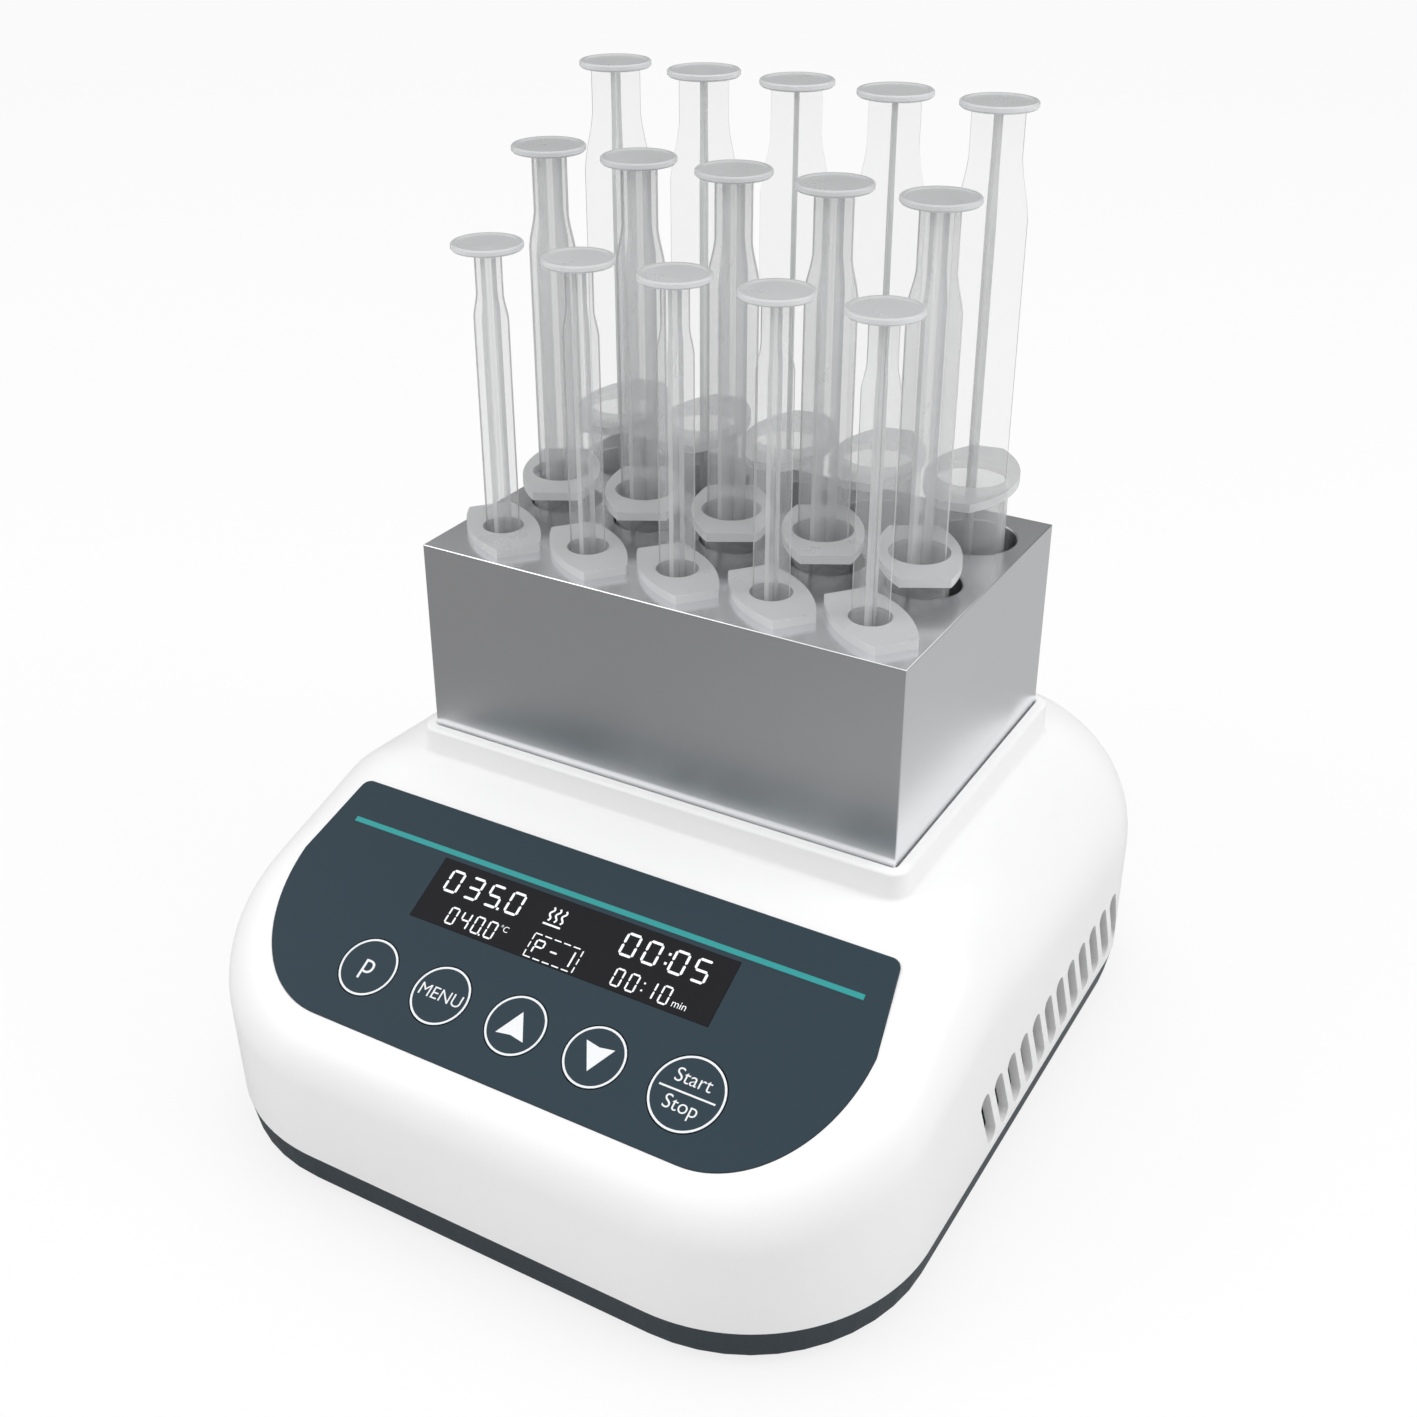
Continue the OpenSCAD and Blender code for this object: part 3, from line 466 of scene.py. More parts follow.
# --------------------------------------------------------------- mesh writing


def link(name, data):
    """New object in the scene."""
    thing = bpy.data.objects.new(name, data)
    bpy.context.scene.collection.objects.link(thing)
    return thing


def settled(thing):
    """New mesh of an object with all that acts on it."""
    graph = bpy.context.evaluated_depsgraph_get()
    return bpy.data.meshes.new_from_object(thing.evaluated_get(graph))


def new_piece(name, mesh, material, body):
    """Links a mesh as a piece that rides on a body, with one material on all its faces."""
    mesh.materials.clear()
    mesh.materials.append(material)
    piece = link(name, mesh)
    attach(piece, body)
    return piece


def mesh_from(name, build):
    """Mesh made by build(work)."""
    work = bmesh.new()
    build(work)
    bmesh.ops.recalc_face_normals(work, faces=work.faces)
    mesh = bpy.data.meshes.new(name)
    work.to_mesh(mesh)
    work.free()
    return mesh


def skin(work, first, second):
    """Faces between two closed rings of as many vertices."""
    for k in range(len(first)):
        m = (k + 1) % len(first)
        work.faces.new((first[k], first[m], second[m], second[k]))


def prism(work, loop, low, high, at=Matrix.Identity(4), hole=None):
    """Prism on a closed loop of (x, y) in a frame, with a hole of as many points."""
    rings = []
    for points in [loop] + ([hole] if hole else []):
        for z in (low, high):
            rings.append([work.verts.new(at @ Vector((x, y, z))) for x, y in points])
    pairs = [(0, 1)] if not hole else [(0, 1), (3, 2), (1, 3), (2, 0)]
    for a, b in pairs:
        skin(work, rings[a], rings[b])
    if not hole:
        work.faces.new(rings[1])
        work.faces.new(rings[0][::-1])


def turned(work, centre, profile, steps=96):
    """Closed solid of revolution about an upright axis, from (radius, height) pairs."""
    rings = [
        [work.verts.new((x, y, z)) for x, y in circle(centre[0], centre[1], radius, steps)]
        for radius, z in profile
    ]
    for lower, upper in zip(rings, rings[1:]):
        skin(work, lower, upper)
    work.faces.new(rings[0][::-1])
    work.faces.new(rings[-1])


def arc(centre_x, centre_y, radius_x, radius_y, start, end, steps):
    """Points of an elliptic arc, angles in degrees."""
    points = []
    for k in range(steps + 1):
        a = math.radians(start + (end - start) * k / steps)
        points.append((centre_x + radius_x * math.cos(a), centre_y + radius_y * math.sin(a)))
    return points


def circle(centre_x, centre_y, radius, steps=64):
    return arc(centre_x, centre_y, radius, radius, 0, 360, steps)[:-1]


def bar(x0, y0, x1, y1):
    """Rectangle from its lower left to its upper right corner."""
    return [(x0, y0), (x1, y0), (x1, y1), (x0, y1)]


def rounded_rectangle(width, height, radius, steps=6, centre=(0, 0)):
    x, y = width / 2 - radius, height / 2 - radius
    points = []
    for sx, sy, start in CORNERS:
        at = (centre[0] + sx * x, centre[1] + sy * y)
        points += arc(*at, radius, radius, start, start + 90, steps)
    return points


def combine(target, cutters, operation="DIFFERENCE"):
    """Cuts or joins meshes with the manifold solver and returns the new mesh."""
    base = link("combine_base", target)
    tools = [link("combine_tool", mesh) for mesh in cutters]
    for tool in tools:
        step = base.modifiers.new("combine", "BOOLEAN")
        step.operation, step.object, step.solver = operation, tool, "MANIFOLD"
    result = settled(base)
    for used in [base] + tools:
        bpy.data.objects.remove(used)
    if not result.polygons:
        raise RuntimeError("a boolean left nothing of " + target.name)
    return result


def smooth(mesh, degrees):
    """Smooth shading with edges over an angle kept sharp."""
    mesh.shade_smooth()
    mesh.set_sharp_from_angle(angle=math.radians(degrees))


def prisms(name, loops, low, high, at=Matrix.Identity(4), hole=None):
    """Mesh of a prism on each loop, between two heights of a frame."""
    def build(work):
        for loop in loops:
            prism(work, loop, low, high, at, hole)
    return mesh_from(name, build)


def box_mesh(name, low, high):
    return prisms(name, [bar(low[0], low[1], high[0], high[1])], low[2], high[2])


def joined(name, meshes):
    """One mesh of several."""
    work = bmesh.new()
    for mesh in meshes:
        work.from_mesh(mesh)
    result = bpy.data.meshes.new(name)
    work.to_mesh(result)
    work.free()
    return result


# -------------------------------------------------------------------- housing


class Body:
    """Outer form of the housing, from the sizes in the settings."""

    def __init__(self, sizes):
        low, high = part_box("top_housing")
        self.s = sizes
        self.half_w = (high.x - low.x) / 2
        self.front, self.rear = low.y, high.y
        self.seam, self.collar_top = low.z, high.z
        self.ball_y = self.front + sizes.front_edge
        self.ball_z = (
            sizes.top + (self.ball_y - sizes.knee_y) * math.tan(sizes.tilt)
            - sizes.front_edge / math.cos(sizes.tilt)
        )

    def plan(self, inset):
        """Outline of the foot."""
        points = []
        for sx, sy, start in CORNERS:
            r = self.s.rear_corner if sy > 0 else self.s.front_corner
            at = (sx * (self.half_w - r), self.rear - r if sy > 0 else self.front + r)
            points += arc(*at, r - inset, r - inset, start, start + 90, 2 * self.s.steps)
        return points

    def form(self, name, inset=0.0, drop=0.0):
        """Convex outer form, drawn in by inset and its foot lowered by drop."""
        s = self.s
        points = [Vector((x, y, self.seam - drop)) for x, y in self.plan(inset)]
        shoulder = self.puck(s.rear_corner - s.shoulder, s.shoulder - inset)
        knee = self.puck(0, s.knee - inset)
        knee_y = s.knee_y + s.knee * math.tan(s.tilt / 2)
        turn = Matrix.Rotation(s.tilt, 3, "X")
        ring = s.front_corner - s.front_edge
        ahead = Vector((0, ring, 0))
        front = [turn @ (p + ahead) for p in self.puck(ring, s.front_edge - inset)]
        for side in (-1, 1):
            for edge, x, y, z in (
                (shoulder, s.rear_corner, self.rear - s.rear_corner, s.top - s.shoulder),
                (knee, s.knee, knee_y, s.top - s.knee),
                (front, s.front_corner, self.ball_y, self.ball_z),
            ):
                centre = Vector((side * (self.half_w - x), y, z))
                points += [centre + p for p in edge]

        def build(work):
            hull = bmesh.ops.convex_hull(work, input=[work.verts.new(p) for p in points])
            inside = hull["geom_interior"] + hull["geom_unused"]
            verts = {v for v in inside if isinstance(v, bmesh.types.BMVert)}
            bmesh.ops.delete(work, geom=list(verts), context="VERTS")
        return mesh_from(name, build)

    def puck(self, ring, edge):
        """Points of the upper half of a disc with a round rim."""
        points, n = [], self.s.steps
        for k in range(n + 1):
            rise = math.radians(90 * k / n)
            out, up = ring + edge * math.cos(rise), edge * math.sin(rise)
            for x, y in circle(0, 0, out, 4 * n) if out > 1e-6 else [(0, 0)]:
                points.append(Vector((x, y, up)))
        return points


def panel_frame(scene):
    """Frame of the panel: x across, y up the slope and z out of it, its origin over
    the middle of the display on the overlay's upper face."""
    tilt = scene.heater_housing.tilt
    out = Vector((0, -math.sin(tilt), math.cos(tilt)))
    window = [v.co for v in NODES["display_window"].data.vertices]
    middle = sum(window, Vector()) / len(window)
    level = max(v.co.dot(out) for v in NODES["control_overlay"].data.vertices)
    at = Matrix.Translation(middle + out * (level - middle.dot(out)))
    return at @ Matrix.Rotation(tilt, 4, "X")


def overlay_loop(panel, top, bottom, grow):
    """Outline of the overlay between two heights on the slope, made larger by grow."""
    r, side_angle = panel.top_corner, 8
    half_axes = (panel.corner_x + grow, panel.corner_y + grow)
    side = arc(
        panel.half_width - panel.corner_x, bottom + panel.corner_y, *half_axes, -90, 0, 48,
    )
    side += arc(panel.top_half_width - r, top - r, r + grow, r + grow, side_angle, 90, 8)
    return side + [(-x, y) for x, y in side[::-1]]


def collar_mesh(body, ground):
    """Collar round the block: a fillet that follows the top, a wall, a rounded
    edge, a flat rim with a chamfer, and the inner wall."""
    s = body.s
    # the hidden foot: how far beyond the fillet, how deep, and how deep it begins
    flare, bury, lap = 0.3 * MM, 3 * MM, 0.02 * MM
    # chamfer of the rim's inner edge, and the inner wall's foot below the flat top
    chamfer, below = 0.4 * MM, 8.7 * MM
    arc_steps, corner_steps, side_steps = 6, 8, 24
    low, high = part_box("heat_block")
    centre = (low + high) / 2
    wide = high.x - low.x + 2 * (s.block_gap + s.collar_wall)
    deep = high.y - low.y + 2 * (s.block_gap + s.collar_wall)
    x, y = wide / 2 - s.collar_corner, deep / 2 - s.collar_corner
    outline, normals = [], []
    for sx, sy, start in CORNERS:
        corner = Vector((centre.x + sx * x, centre.y + sy * y, 0))
        for k in range(corner_steps + 1):
            a = math.radians(start + 90 * k / corner_steps)
            out = Vector((math.cos(a), math.sin(a), 0))
            normals.append(out)
            outline.append(corner + out * s.collar_corner)
        # points along the straight side let the foot follow the curved top
        next_corner = Vector((centre.x - sy * x, centre.y + sx * y, 0))
        first, end = outline[-1].copy(), next_corner + normals[-1] * s.collar_corner
        for k in range(1, side_steps):
            outline.append(first.lerp(end, k / side_steps))
            normals.append(normals[-1].copy())

    def ground_height(p):
        hit = ground.ray_cast(Vector((p.x, p.y, 1.0)), Vector((0, 0, -1)))[0]
        return hit.z if hit else body.seam

    def section(p, out):
        """The collar's section at a point, as (distance outward, height)."""
        f, r, inner = s.collar_fillet, s.collar_round, -s.collar_wall
        foot = ground_height(p + out * f)
        points = [(f + flare, foot - bury), (f + flare, foot - lap)]
        turns = [math.radians(90 * k / arc_steps) for k in range(arc_steps + 1)]
        for a in turns:
            run = f * (1 - math.sin(a))
            points.append((run, ground_height(p + out * run) + f * (1 - math.cos(a))))
        for a in turns:
            points.append((-r + r * math.cos(a), body.collar_top - r + r * math.sin(a)))
        return points + [
            (inner + chamfer, body.collar_top), (inner, body.collar_top - chamfer),
            (inner, s.top - below), (f, s.top - below),
        ]

    def build(work):
        columns = [
            [work.verts.new(p + out * run + Vector((0, 0, z))) for run, z in section(p, out)]
            for p, out in zip(outline, normals)
        ]
        for k, column in enumerate(columns):
            ahead = columns[(k + 1) % len(columns)]
            for m in range(len(column)):
                q = (m + 1) % len(column)
                work.faces.new((column[m], ahead[m], ahead[q], column[q]))
    return mesh_from("collar", build)


def vent_meshes(body, vents):
    """Cutters of the slanted slots in both sides."""
    reach = 7.5 * MM  # both ways from the side's face
    run, r = vents.height - vents.width, vents.width / 2
    slot = math.hypot(vents.slant, run)
    loop = arc(0, slot / 2, r, r, 0, 180, 16) + arc(0, -slot / 2, r, r, 180, 360, 16)
    turn = Matrix.Rotation(math.atan2(vents.slant, run), 4, "Z")
    # the loop's x along Y, its y along Z, and its height along X
    sideways = Matrix(((0, 0, 1, 0), (1, 0, 0, 0), (0, 1, 0, 0), (0, 0, 0, 1)))

    def build(work):
        for side in (-1, 1):
            for k in range(vents.count):
                y = vents.middle_y + (k - (vents.count - 1) / 2) * vents.pitch
                place = Matrix.Translation((side * body.half_w, y, vents.middle_z))
                prism(work, loop, -reach, reach, place @ sideways @ turn)
    return mesh_from("vents", build)


class HEATER_OT_housing(bpy.types.Operator):
    """Build the moulded housing with its collar, panel recess, vents and rear pocket"""

    bl_idname = "heater.housing"
    bl_label = "Housing"

    HALF_WIDTH, HALF_HEIGHT, CORNER = 44 * MM, 20 * MM, 4 * MM  # of the rear pocket
    FLOOR = 2 * MM  # from the pocket's floor out to the rear of the rocker's frame
    HOLE_DEPTH = 20.5 * MM  # of the holes in the pocket's floor, from the fittings' rear
    # fitting, and how far in from its sides and its top and foot its hole's edges lie
    FITTINGS = (("power_inlet", 11.3 * MM, 0.55 * MM), ("switch_housing", 0.8 * MM, 0.8 * MM))
    OVER, UNDER = 6 * MM, -8 * MM  # ends of the cutters on the panel, above and below it
    WINDOW_EDGE, WINDOW_HALF = 1.4 * MM, 8.4 * MM  # margin beside the window's hole, half height

    def execute(self, context):
        sizes, panel = context.scene.heater_housing, context.scene.heater_panel
        vents, look = context.scene.heater_vents, context.scene.heater_colours
        body, at = Body(sizes), panel_frame(context.scene)
        outer = body.form("outer")
        work = bmesh.new()
        work.from_mesh(outer)
        ground = BVHTree.FromBMesh(work)
        work.free()
        low, high = self.pocket()
        wall = Vector((sizes.wall,) * 3)
        inner = body.form("inner", sizes.wall, MM)
        cavity = combine(inner, [box_mesh("back", low - wall, high + wall)])
        shell = combine(outer, [collar_mesh(body, ground)], "UNION")
        shell = combine(shell, [
            cavity,
            self.block_hole(body),
            self.recess(at, panel),
            self.key_holes(at, panel),
            vent_meshes(body, vents),
            self.pocket_mesh(low, high),
            self.rear_holes(),
        ])
        smooth(shell, 24)
        white = moulded("housing_white", look.housing, 0.42)
        piece = new_piece("housing_shell", shell, white, "housing")
        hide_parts("top_housing")
        return {"FINISHED"}

    def pocket(self):
        """Corners of the pocket in the rear, down to its floor behind the inlet."""
        inlet_low, inlet_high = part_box("power_inlet")
        middle = (inlet_low.z + inlet_high.z) / 2
        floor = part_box("switch_housing")[1].y - self.FLOOR
        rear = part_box("top_housing")[1].y + MM
        low = Vector((-self.HALF_WIDTH, floor, middle - self.HALF_HEIGHT))
        return low, Vector((self.HALF_WIDTH, rear, middle + self.HALF_HEIGHT))

    def pocket_mesh(self, low, high):
        loop = rounded_rectangle(high.x - low.x, high.z - low.z, self.CORNER)
        at = Matrix.Translation((0, 0, (low.z + high.z) / 2)) @ LAID_DOWN
        return prisms("pocket", [loop], -high.y, -low.y, at)

    def rear_holes(self):
        def build(work):
            for fitting, beside, within in self.FITTINGS:
                low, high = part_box(fitting)
                loop = bar(low.x + beside, low.z + within, high.x - beside, high.z - within)
                prism(work, loop, -high.y, -high.y + self.HOLE_DEPTH, LAID_DOWN)
        return mesh_from("rear_holes", build)

    @staticmethod
    def block_hole(body):
        # a little inside the collar's inner wall, so that no faces coincide
        s, lap = body.s, 0.02 * MM
        corner, depth, above = 1.5 * MM, 12 * MM, 10 * MM
        low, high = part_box("heat_block")
        grow = s.block_gap - lap
        loop = rounded_rectangle(
            high.x - low.x + 2 * grow, high.y - low.y + 2 * grow, corner,
            centre=((low.x + high.x) / 2, (low.y + high.y) / 2),
        )
        return prisms("block_hole", [loop], s.top - depth, body.collar_top + above)

    def recess(self, at, panel):
        back = at.inverted()
        points = [back @ v.co for v in NODES["control_overlay"].data.vertices]
        slope = [p.y for p in points]
        loop = overlay_loop(panel, max(slope), min(slope), panel.clearance)
        floor = min(p.z for p in points)
        return prisms("recess", [loop], floor, self.OVER, at)

    def key_holes(self, at, panel):
        loops = []
        for key in KEYS:
            x, y, radius = key_place(key, at)
            loops.append(circle(x, y, radius + panel.key_gap))
        low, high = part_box("display_window")
        half = (high.x - low.x) / 2 - self.WINDOW_EDGE
        loops.append(bar(-half, -self.WINDOW_HALF, half, self.WINDOW_HALF))
        return prisms("key_holes", loops, self.UNDER, self.OVER, at)


# ---------------------------------------------------------------------- panel


def key_place(key, at):
    """Middle and radius of a key in the panel frame."""
    points = [at.inverted() @ v.co for v in NODES[key].data.vertices]
    xs, ys = [p.x for p in points], [p.y for p in points]
    return (max(xs) + min(xs)) / 2, (max(ys) + min(ys)) / 2, (max(xs) - min(xs)) / 2


def stroke(points, width):
    """Closed loop round an open line of points."""
    left, right = [], []
    for k, p in enumerate(points):
        a, b = points[max(0, k - 1)], points[min(len(points) - 1, k + 1)]
        dx, dy = b[0] - a[0], b[1] - a[1]
        run = math.hypot(dx, dy)
        left.append((p[0] - dy / run * width / 2, p[1] + dx / run * width / 2))
        right.append((p[0] + dy / run * width / 2, p[1] - dx / run * width / 2))
    return left + right[::-1]


SEGMENTS = {
    "0": "abcdef", "1": "bc", "2": "abged", "3": "abgcd", "4": "fgbc", "5": "afgcd",
    "6": "afgedc", "7": "abc", "8": "abcdefg", "9": "abfgcd", "P": "abefg", "-": "g",
}


def digit(shape, x, y, width, height, pen):
    """Loops of one seven-segment digit whose lower left corner is x, y."""
    half, gap = pen / 2, pen * 0.16  # gap at each end of a segment
    left, right = x + half, x + width - half
    low, middle, high = y + half, y + height / 2, y + height - half
    ends = {
        "a": (left, high, right, high), "b": (right, middle, right, high),
        "c": (right, low, right, middle), "d": (left, low, right, low),
        "e": (left, low, left, middle), "f": (left, middle, left, high),
        "g": (left, middle, right, middle),
    }
    loops = []
    for name in SEGMENTS[shape]:
        x0, y0, x1, y1 = ends[name]
        dx, dy = (1, 0) if y0 == y1 else (0, 1)
        x0, y0, x1, y1 = x0 + dx * gap, y0 + dy * gap, x1 - dx * gap, y1 - dy * gap
        dx, dy = dx * half, dy * half
        loops.append([
            (x0, y0), (x0 + dx + dy, y0 + dy - dx), (x1 - dx + dy, y1 - dy - dx), (x1, y1),
            (x1 - dx - dy, y1 - dy + dx), (x0 + dx - dy, y0 + dy + dx),
        ])
    return loops


def number(text, x, y, width, height, pitch, pen):
    """Loops of a row of digits. A point stands in the gap after its digit, and a
    colon takes room of its own."""
    loops = []
    for shape in text:
        if shape == ".":
            end = x - pitch + width
            loops.append(bar(end + pen * 0.2, y, end + pen * 1.2, y + pen))
        elif shape == ":":
            for rise in (0.3, 0.7):
                at = y + height * rise
                loops.append(bar(x - pen * 0.1, at - pen / 2, x + pen * 0.9, at + pen / 2))
            x += pen * 1.9
        else:
            loops += digit(shape, x, y, width, height, pen)
            x += pitch
    return loops


def lettering(text, size, x, y, at, ink):
    """Mesh of a centred word lying on the panel frame."""
    thinner = -0.005  # outline drawn in, as a part of the size
    curve = bpy.data.curves.new(text, "FONT")
    curve.body, curve.size = text, size
    curve.align_x, curve.align_y = "CENTER", "CENTER"
    curve.extrude, curve.resolution_u = ink / 2, 6
    curve.offset = thinner * size
    holder = link("lettering", curve)
    mesh = settled(holder)
    bpy.data.objects.remove(holder)
    mesh.transform(at @ Matrix.Translation((x, y, ink / 2)))
    return mesh


class HEATER_OT_overlay(bpy.types.Operator):
    """Finish the overlay film and print the coloured line on it"""

    bl_idname = "heater.overlay"
    bl_label = "Overlay"

    def execute(self, context):
        look, panel = context.scene.heater_colours, context.scene.heater_panel
        finish(("control_overlay", *KEYS), overlay_film("overlay_slate", look.overlay))
        x, y, half = panel.line_half, panel.line_rise, panel.line_width / 2
        loop, at = bar(-x, y - half, x, y + half), panel_frame(context.scene)
        line = prisms("teal_line", [loop], 0, panel.ink, at)
        teal = printed("line_teal", look.teal)
        new_piece("teal_line", line, teal, "housing")
        return {"FINISHED"}


class HEATER_OT_keys(bpy.types.Operator):
    """Print the rings and legends on the five keys"""

    bl_idname = "heater.keys"
    bl_label = "Keys"

    EDGE = 0.1 * MM  # from the ring to the key's edge
    # words on each key, with their size and their rise from its middle in mm
    WORDS = {
        "key_program": (("p", 9, 0.8),),
        "key_menu": (("MENU", 5.2, 0),),
        "key_start_stop": (("Start", 5.6, 3.9), ("Stop", 5.6, -3.6)),
    }
    RULE = (8.2 * MM, 0.25 * MM)  # half length and half width, between Start and Stop
    # half width of an arrow, its tip, and how far down its sides and its notch lie
    ARROW, TIP, SIDES, NOTCH = 4.4 * MM, 4.2 * MM, 0.85, 0.68

    def execute(self, context):
        panel, at = context.scene.heater_panel, panel_frame(context.scene)
        white = printed("ink_white", context.scene.heater_colours.ink)
        for key in KEYS:
            x, y, radius = key_place(key, at)
            outer = circle(x, y, radius - self.EDGE)
            inner = circle(x, y, radius - self.EDGE - panel.ring_width)
            meshes = [prisms("ring", [outer], 0, panel.ink, at, inner)] + [
                lettering(word, size * MM, x, y + rise * MM, at, panel.ink)
                for word, size, rise in self.WORDS.get(key, ())
            ]
            if key == "key_start_stop":
                half, thin = self.RULE
                rule = bar(x - half, y - thin, x + half, y + thin)
                meshes.append(prisms("rule", [rule], 0, panel.ink, at))
            elif key not in self.WORDS:
                tip = self.TIP if key == "key_up" else -self.TIP
                sides, notch = y - tip * self.SIDES, y - tip * self.NOTCH
                arrow = [(x - self.ARROW, sides), (x, notch), (x + self.ARROW, sides), (x, y + tip)]
                meshes.append(prisms("arrow", [arrow], 0, panel.ink, at))
            name = key + "_print"
            new_piece(name, joined(name, meshes), white, key)
        return {"FINISHED"}


class HEATER_OT_display(bpy.types.Operator):
    """Finish the display window and set out its digits and marks"""

    bl_idname = "heater.display"
    bl_label = "Display"

    # all in mm from the middle of the display, lower left corners where not said
    NUMBERS = (  # text, x, y, width, height, pitch, pen
        ("035.0", -43.9, 0.3, 4.7, 7.2, 7.0, 0.75),
        ("00:05", 14.9, 0.3, 4.7, 7.2, 6.9, 0.75),
        ("040.0", -37.6, -8.6, 3.0, 5.5, 4.4, 0.5),
        ("00:10", 17.2, -8.6, 3.0, 5.5, 4.6, 0.5),
        ("P", -8.6, -8.0, 3.1, 4.6, 0, 0.5),
        ("-", -3.6, -8.0, 3.0, 4.6, 0, 0.5),
    )
    ONE = (3.6, -8.0, 4.1, -3.4)  # the plain bar after the dash, from corner to corner
    WAVES = (-8.9, -6.9, -4.9)  # middles of the waves of the heating mark
    WAVE = (2.6, 4.2, 0.45, 0.55)  # their foot, height, swing and pen
    PLATE = (-9.9, 1.2, -4.2, 1.75)  # bar under the waves
    # dashed frame: dashes lie and stand at each x and y
    LYING = ((-10.0, -6.9, -3.8, -0.7, 2.4), (-9.4, -2.2), 2.2)
    STANDING = ((-10.2, 5.6), (-9.2, -6.6, -4.1), 1.8)
    DASH_PEN = 0.35
    WORDS = (("°C", 2.6, -19.3, -4.3), ("min", 3.1, 38.4, -7.2))  # size and middle
    GLOW = 0.25

    def execute(self, context):
        look, panel = context.scene.heater_colours, context.scene.heater_panel
        finish(["display_window"], dark_glass("display_black", look.display))
        loops = []
        for row in self.NUMBERS:
            loops += number(*row)
        loops.append(bar(*self.ONE))
        foot, tall, swing, pen = self.WAVE
        for x in self.WAVES:
            wave = [
                (x + swing * math.sin(t * math.pi / 5), foot + tall * t / 15) for t in range(16)
            ]
            loops.append(stroke(wave, pen))
        loops.append(bar(*self.PLATE))
        across, up, dash = self.LYING
        loops += [bar(x, y, x + dash, y + self.DASH_PEN) for y in up for x in across]
        across, up, dash = self.STANDING
        loops += [bar(x, y, x + self.DASH_PEN, y + dash) for x in across for y in up]
        at = panel_frame(context.scene)
        meshes = [prisms("digits", loops, 0, panel.ink / MM, at @ Matrix.Scale(MM, 4))]
        for word, size, x, y in self.WORDS:
            meshes.append(lettering(word, size * MM, x * MM, y * MM, at, panel.ink))
        ink = printed("display_ink", look.ink, self.GLOW)
        digits = joined("display_digits", meshes)
        new_piece("display_digits", digits, ink, "housing")
        return {"FINISHED"}


# ------------------------------------------------------------- other finishes


def finish(names, material, shade=None):
    """Gives CAD nodes a material, and smooth shading where an angle is given."""
    for name in names:
        mesh = NODES[name].data
        mesh.materials.clear()
        mesh.materials.append(material)
        if shade:
            smooth(mesh, shade)


class HEATER_OT_tray(bpy.types.Operator):
    """Finish the base tray, its feet and its screws"""

    bl_idname = "heater.tray"
    bl_label = "Tray and feet"

    def execute(self, context):
        slate = context.scene.heater_colours.slate
        finish(["base_tray"], moulded("tray_slate", slate, 0.45, Specular_IOR_Level=0.3), 24)
        finish(["rubber_feet"], moulded("dark_rubber", linear(34, 34, 36), 0.75, 700.0, 0.05), 30)
        steel = machined("screw_steel", linear(150, 151, 154), 0.32, (1, 1, 0.2))
        finish(["housing_screws", "machine_screws", "well_screws"], steel)
        return {"FINISHED"}


def syringe_axis(size):
    """Middle of the third syringe of a row."""
    low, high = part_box(size + "_plunger_3")
    return (low + high) / 2


class HEATER_OT_block(bpy.types.Operator):
    """Build the aluminium block and finish it, the well it stands in and the electronics"""

    bl_idname = "heater.block"
    bl_label = "Block and well"

    def execute(self, context):
        aluminium = satin_aluminium(
            "block_aluminium", context.scene.heater_colours.aluminium, 0.24,
        )
        block = self.block(context.scene.heater_block)
        piece = new_piece("bored_block", block, aluminium, "heat_block")
        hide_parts("heat_block")
        well = machined("well_aluminium", linear(170, 171, 174), 0.45, (1, 1, 0.1))
        finish(["heater_well"], well, 30)
        finish(["heating_pad"], moulded("pad_silicone", linear(168, 84, 44), 0.6, 500.0, 0.05))
        wool = moulded("jacket_wool", linear(214, 208, 192), 0.95, 420.0, 0.4)
        finish(["insulation_jacket"], wool)
        finish(["temperature_probe"], machined("probe_steel", linear(176, 177, 180), 0.3), 30)
        black = moulded("component_black", linear(30, 30, 32), 0.5)
        finish(["thermal_cutout", "display_module", "key_switches", "power_components"], black)
        green = moulded("board_green", linear(28, 92, 58), 0.4, 300.0, 0.02)
        finish(["control_board", "power_board"], green)
        finish(["board_standoffs"], machined("standoff_brass", linear(196, 164, 92), 0.3))
        return {"FINISHED"}

    @staticmethod
    def block(sizes):
        """Mesh of the block: rounded edges and fifteen bores with chamfered mouths."""
        level = 0.9999  # faces that look more nearly along an axis stay flat
        low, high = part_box("heat_block")
        solid = box_mesh("block", low, high)
        work = bmesh.new()
        work.from_mesh(solid)
        bmesh.ops.bevel(
            work, geom=work.edges[:], offset=sizes.edge, segments=4, profile=0.5, affect="EDGES",
        )
        work.to_mesh(solid)
        work.free()
        middle = (low + high) / 2

        def build(work):
            for size, bore in zip(SIZES, sizes.bores):
                y, r = syringe_axis(size).y, bore / 2
                for n in range(-2, 3):
                    turned(work, (middle.x + n * sizes.pitch, y), [
                        (r, high.z - sizes.depth), (r, high.z - sizes.mouth),
                        (r + sizes.mouth, high.z), (r + sizes.mouth, high.z + MM),
                    ])
        mesh = combine(solid, [mesh_from("bores", build)])
        smooth(mesh, 35)
        for face in mesh.polygons:
            face.use_smooth = max(abs(c) for c in face.normal) < level
        return mesh


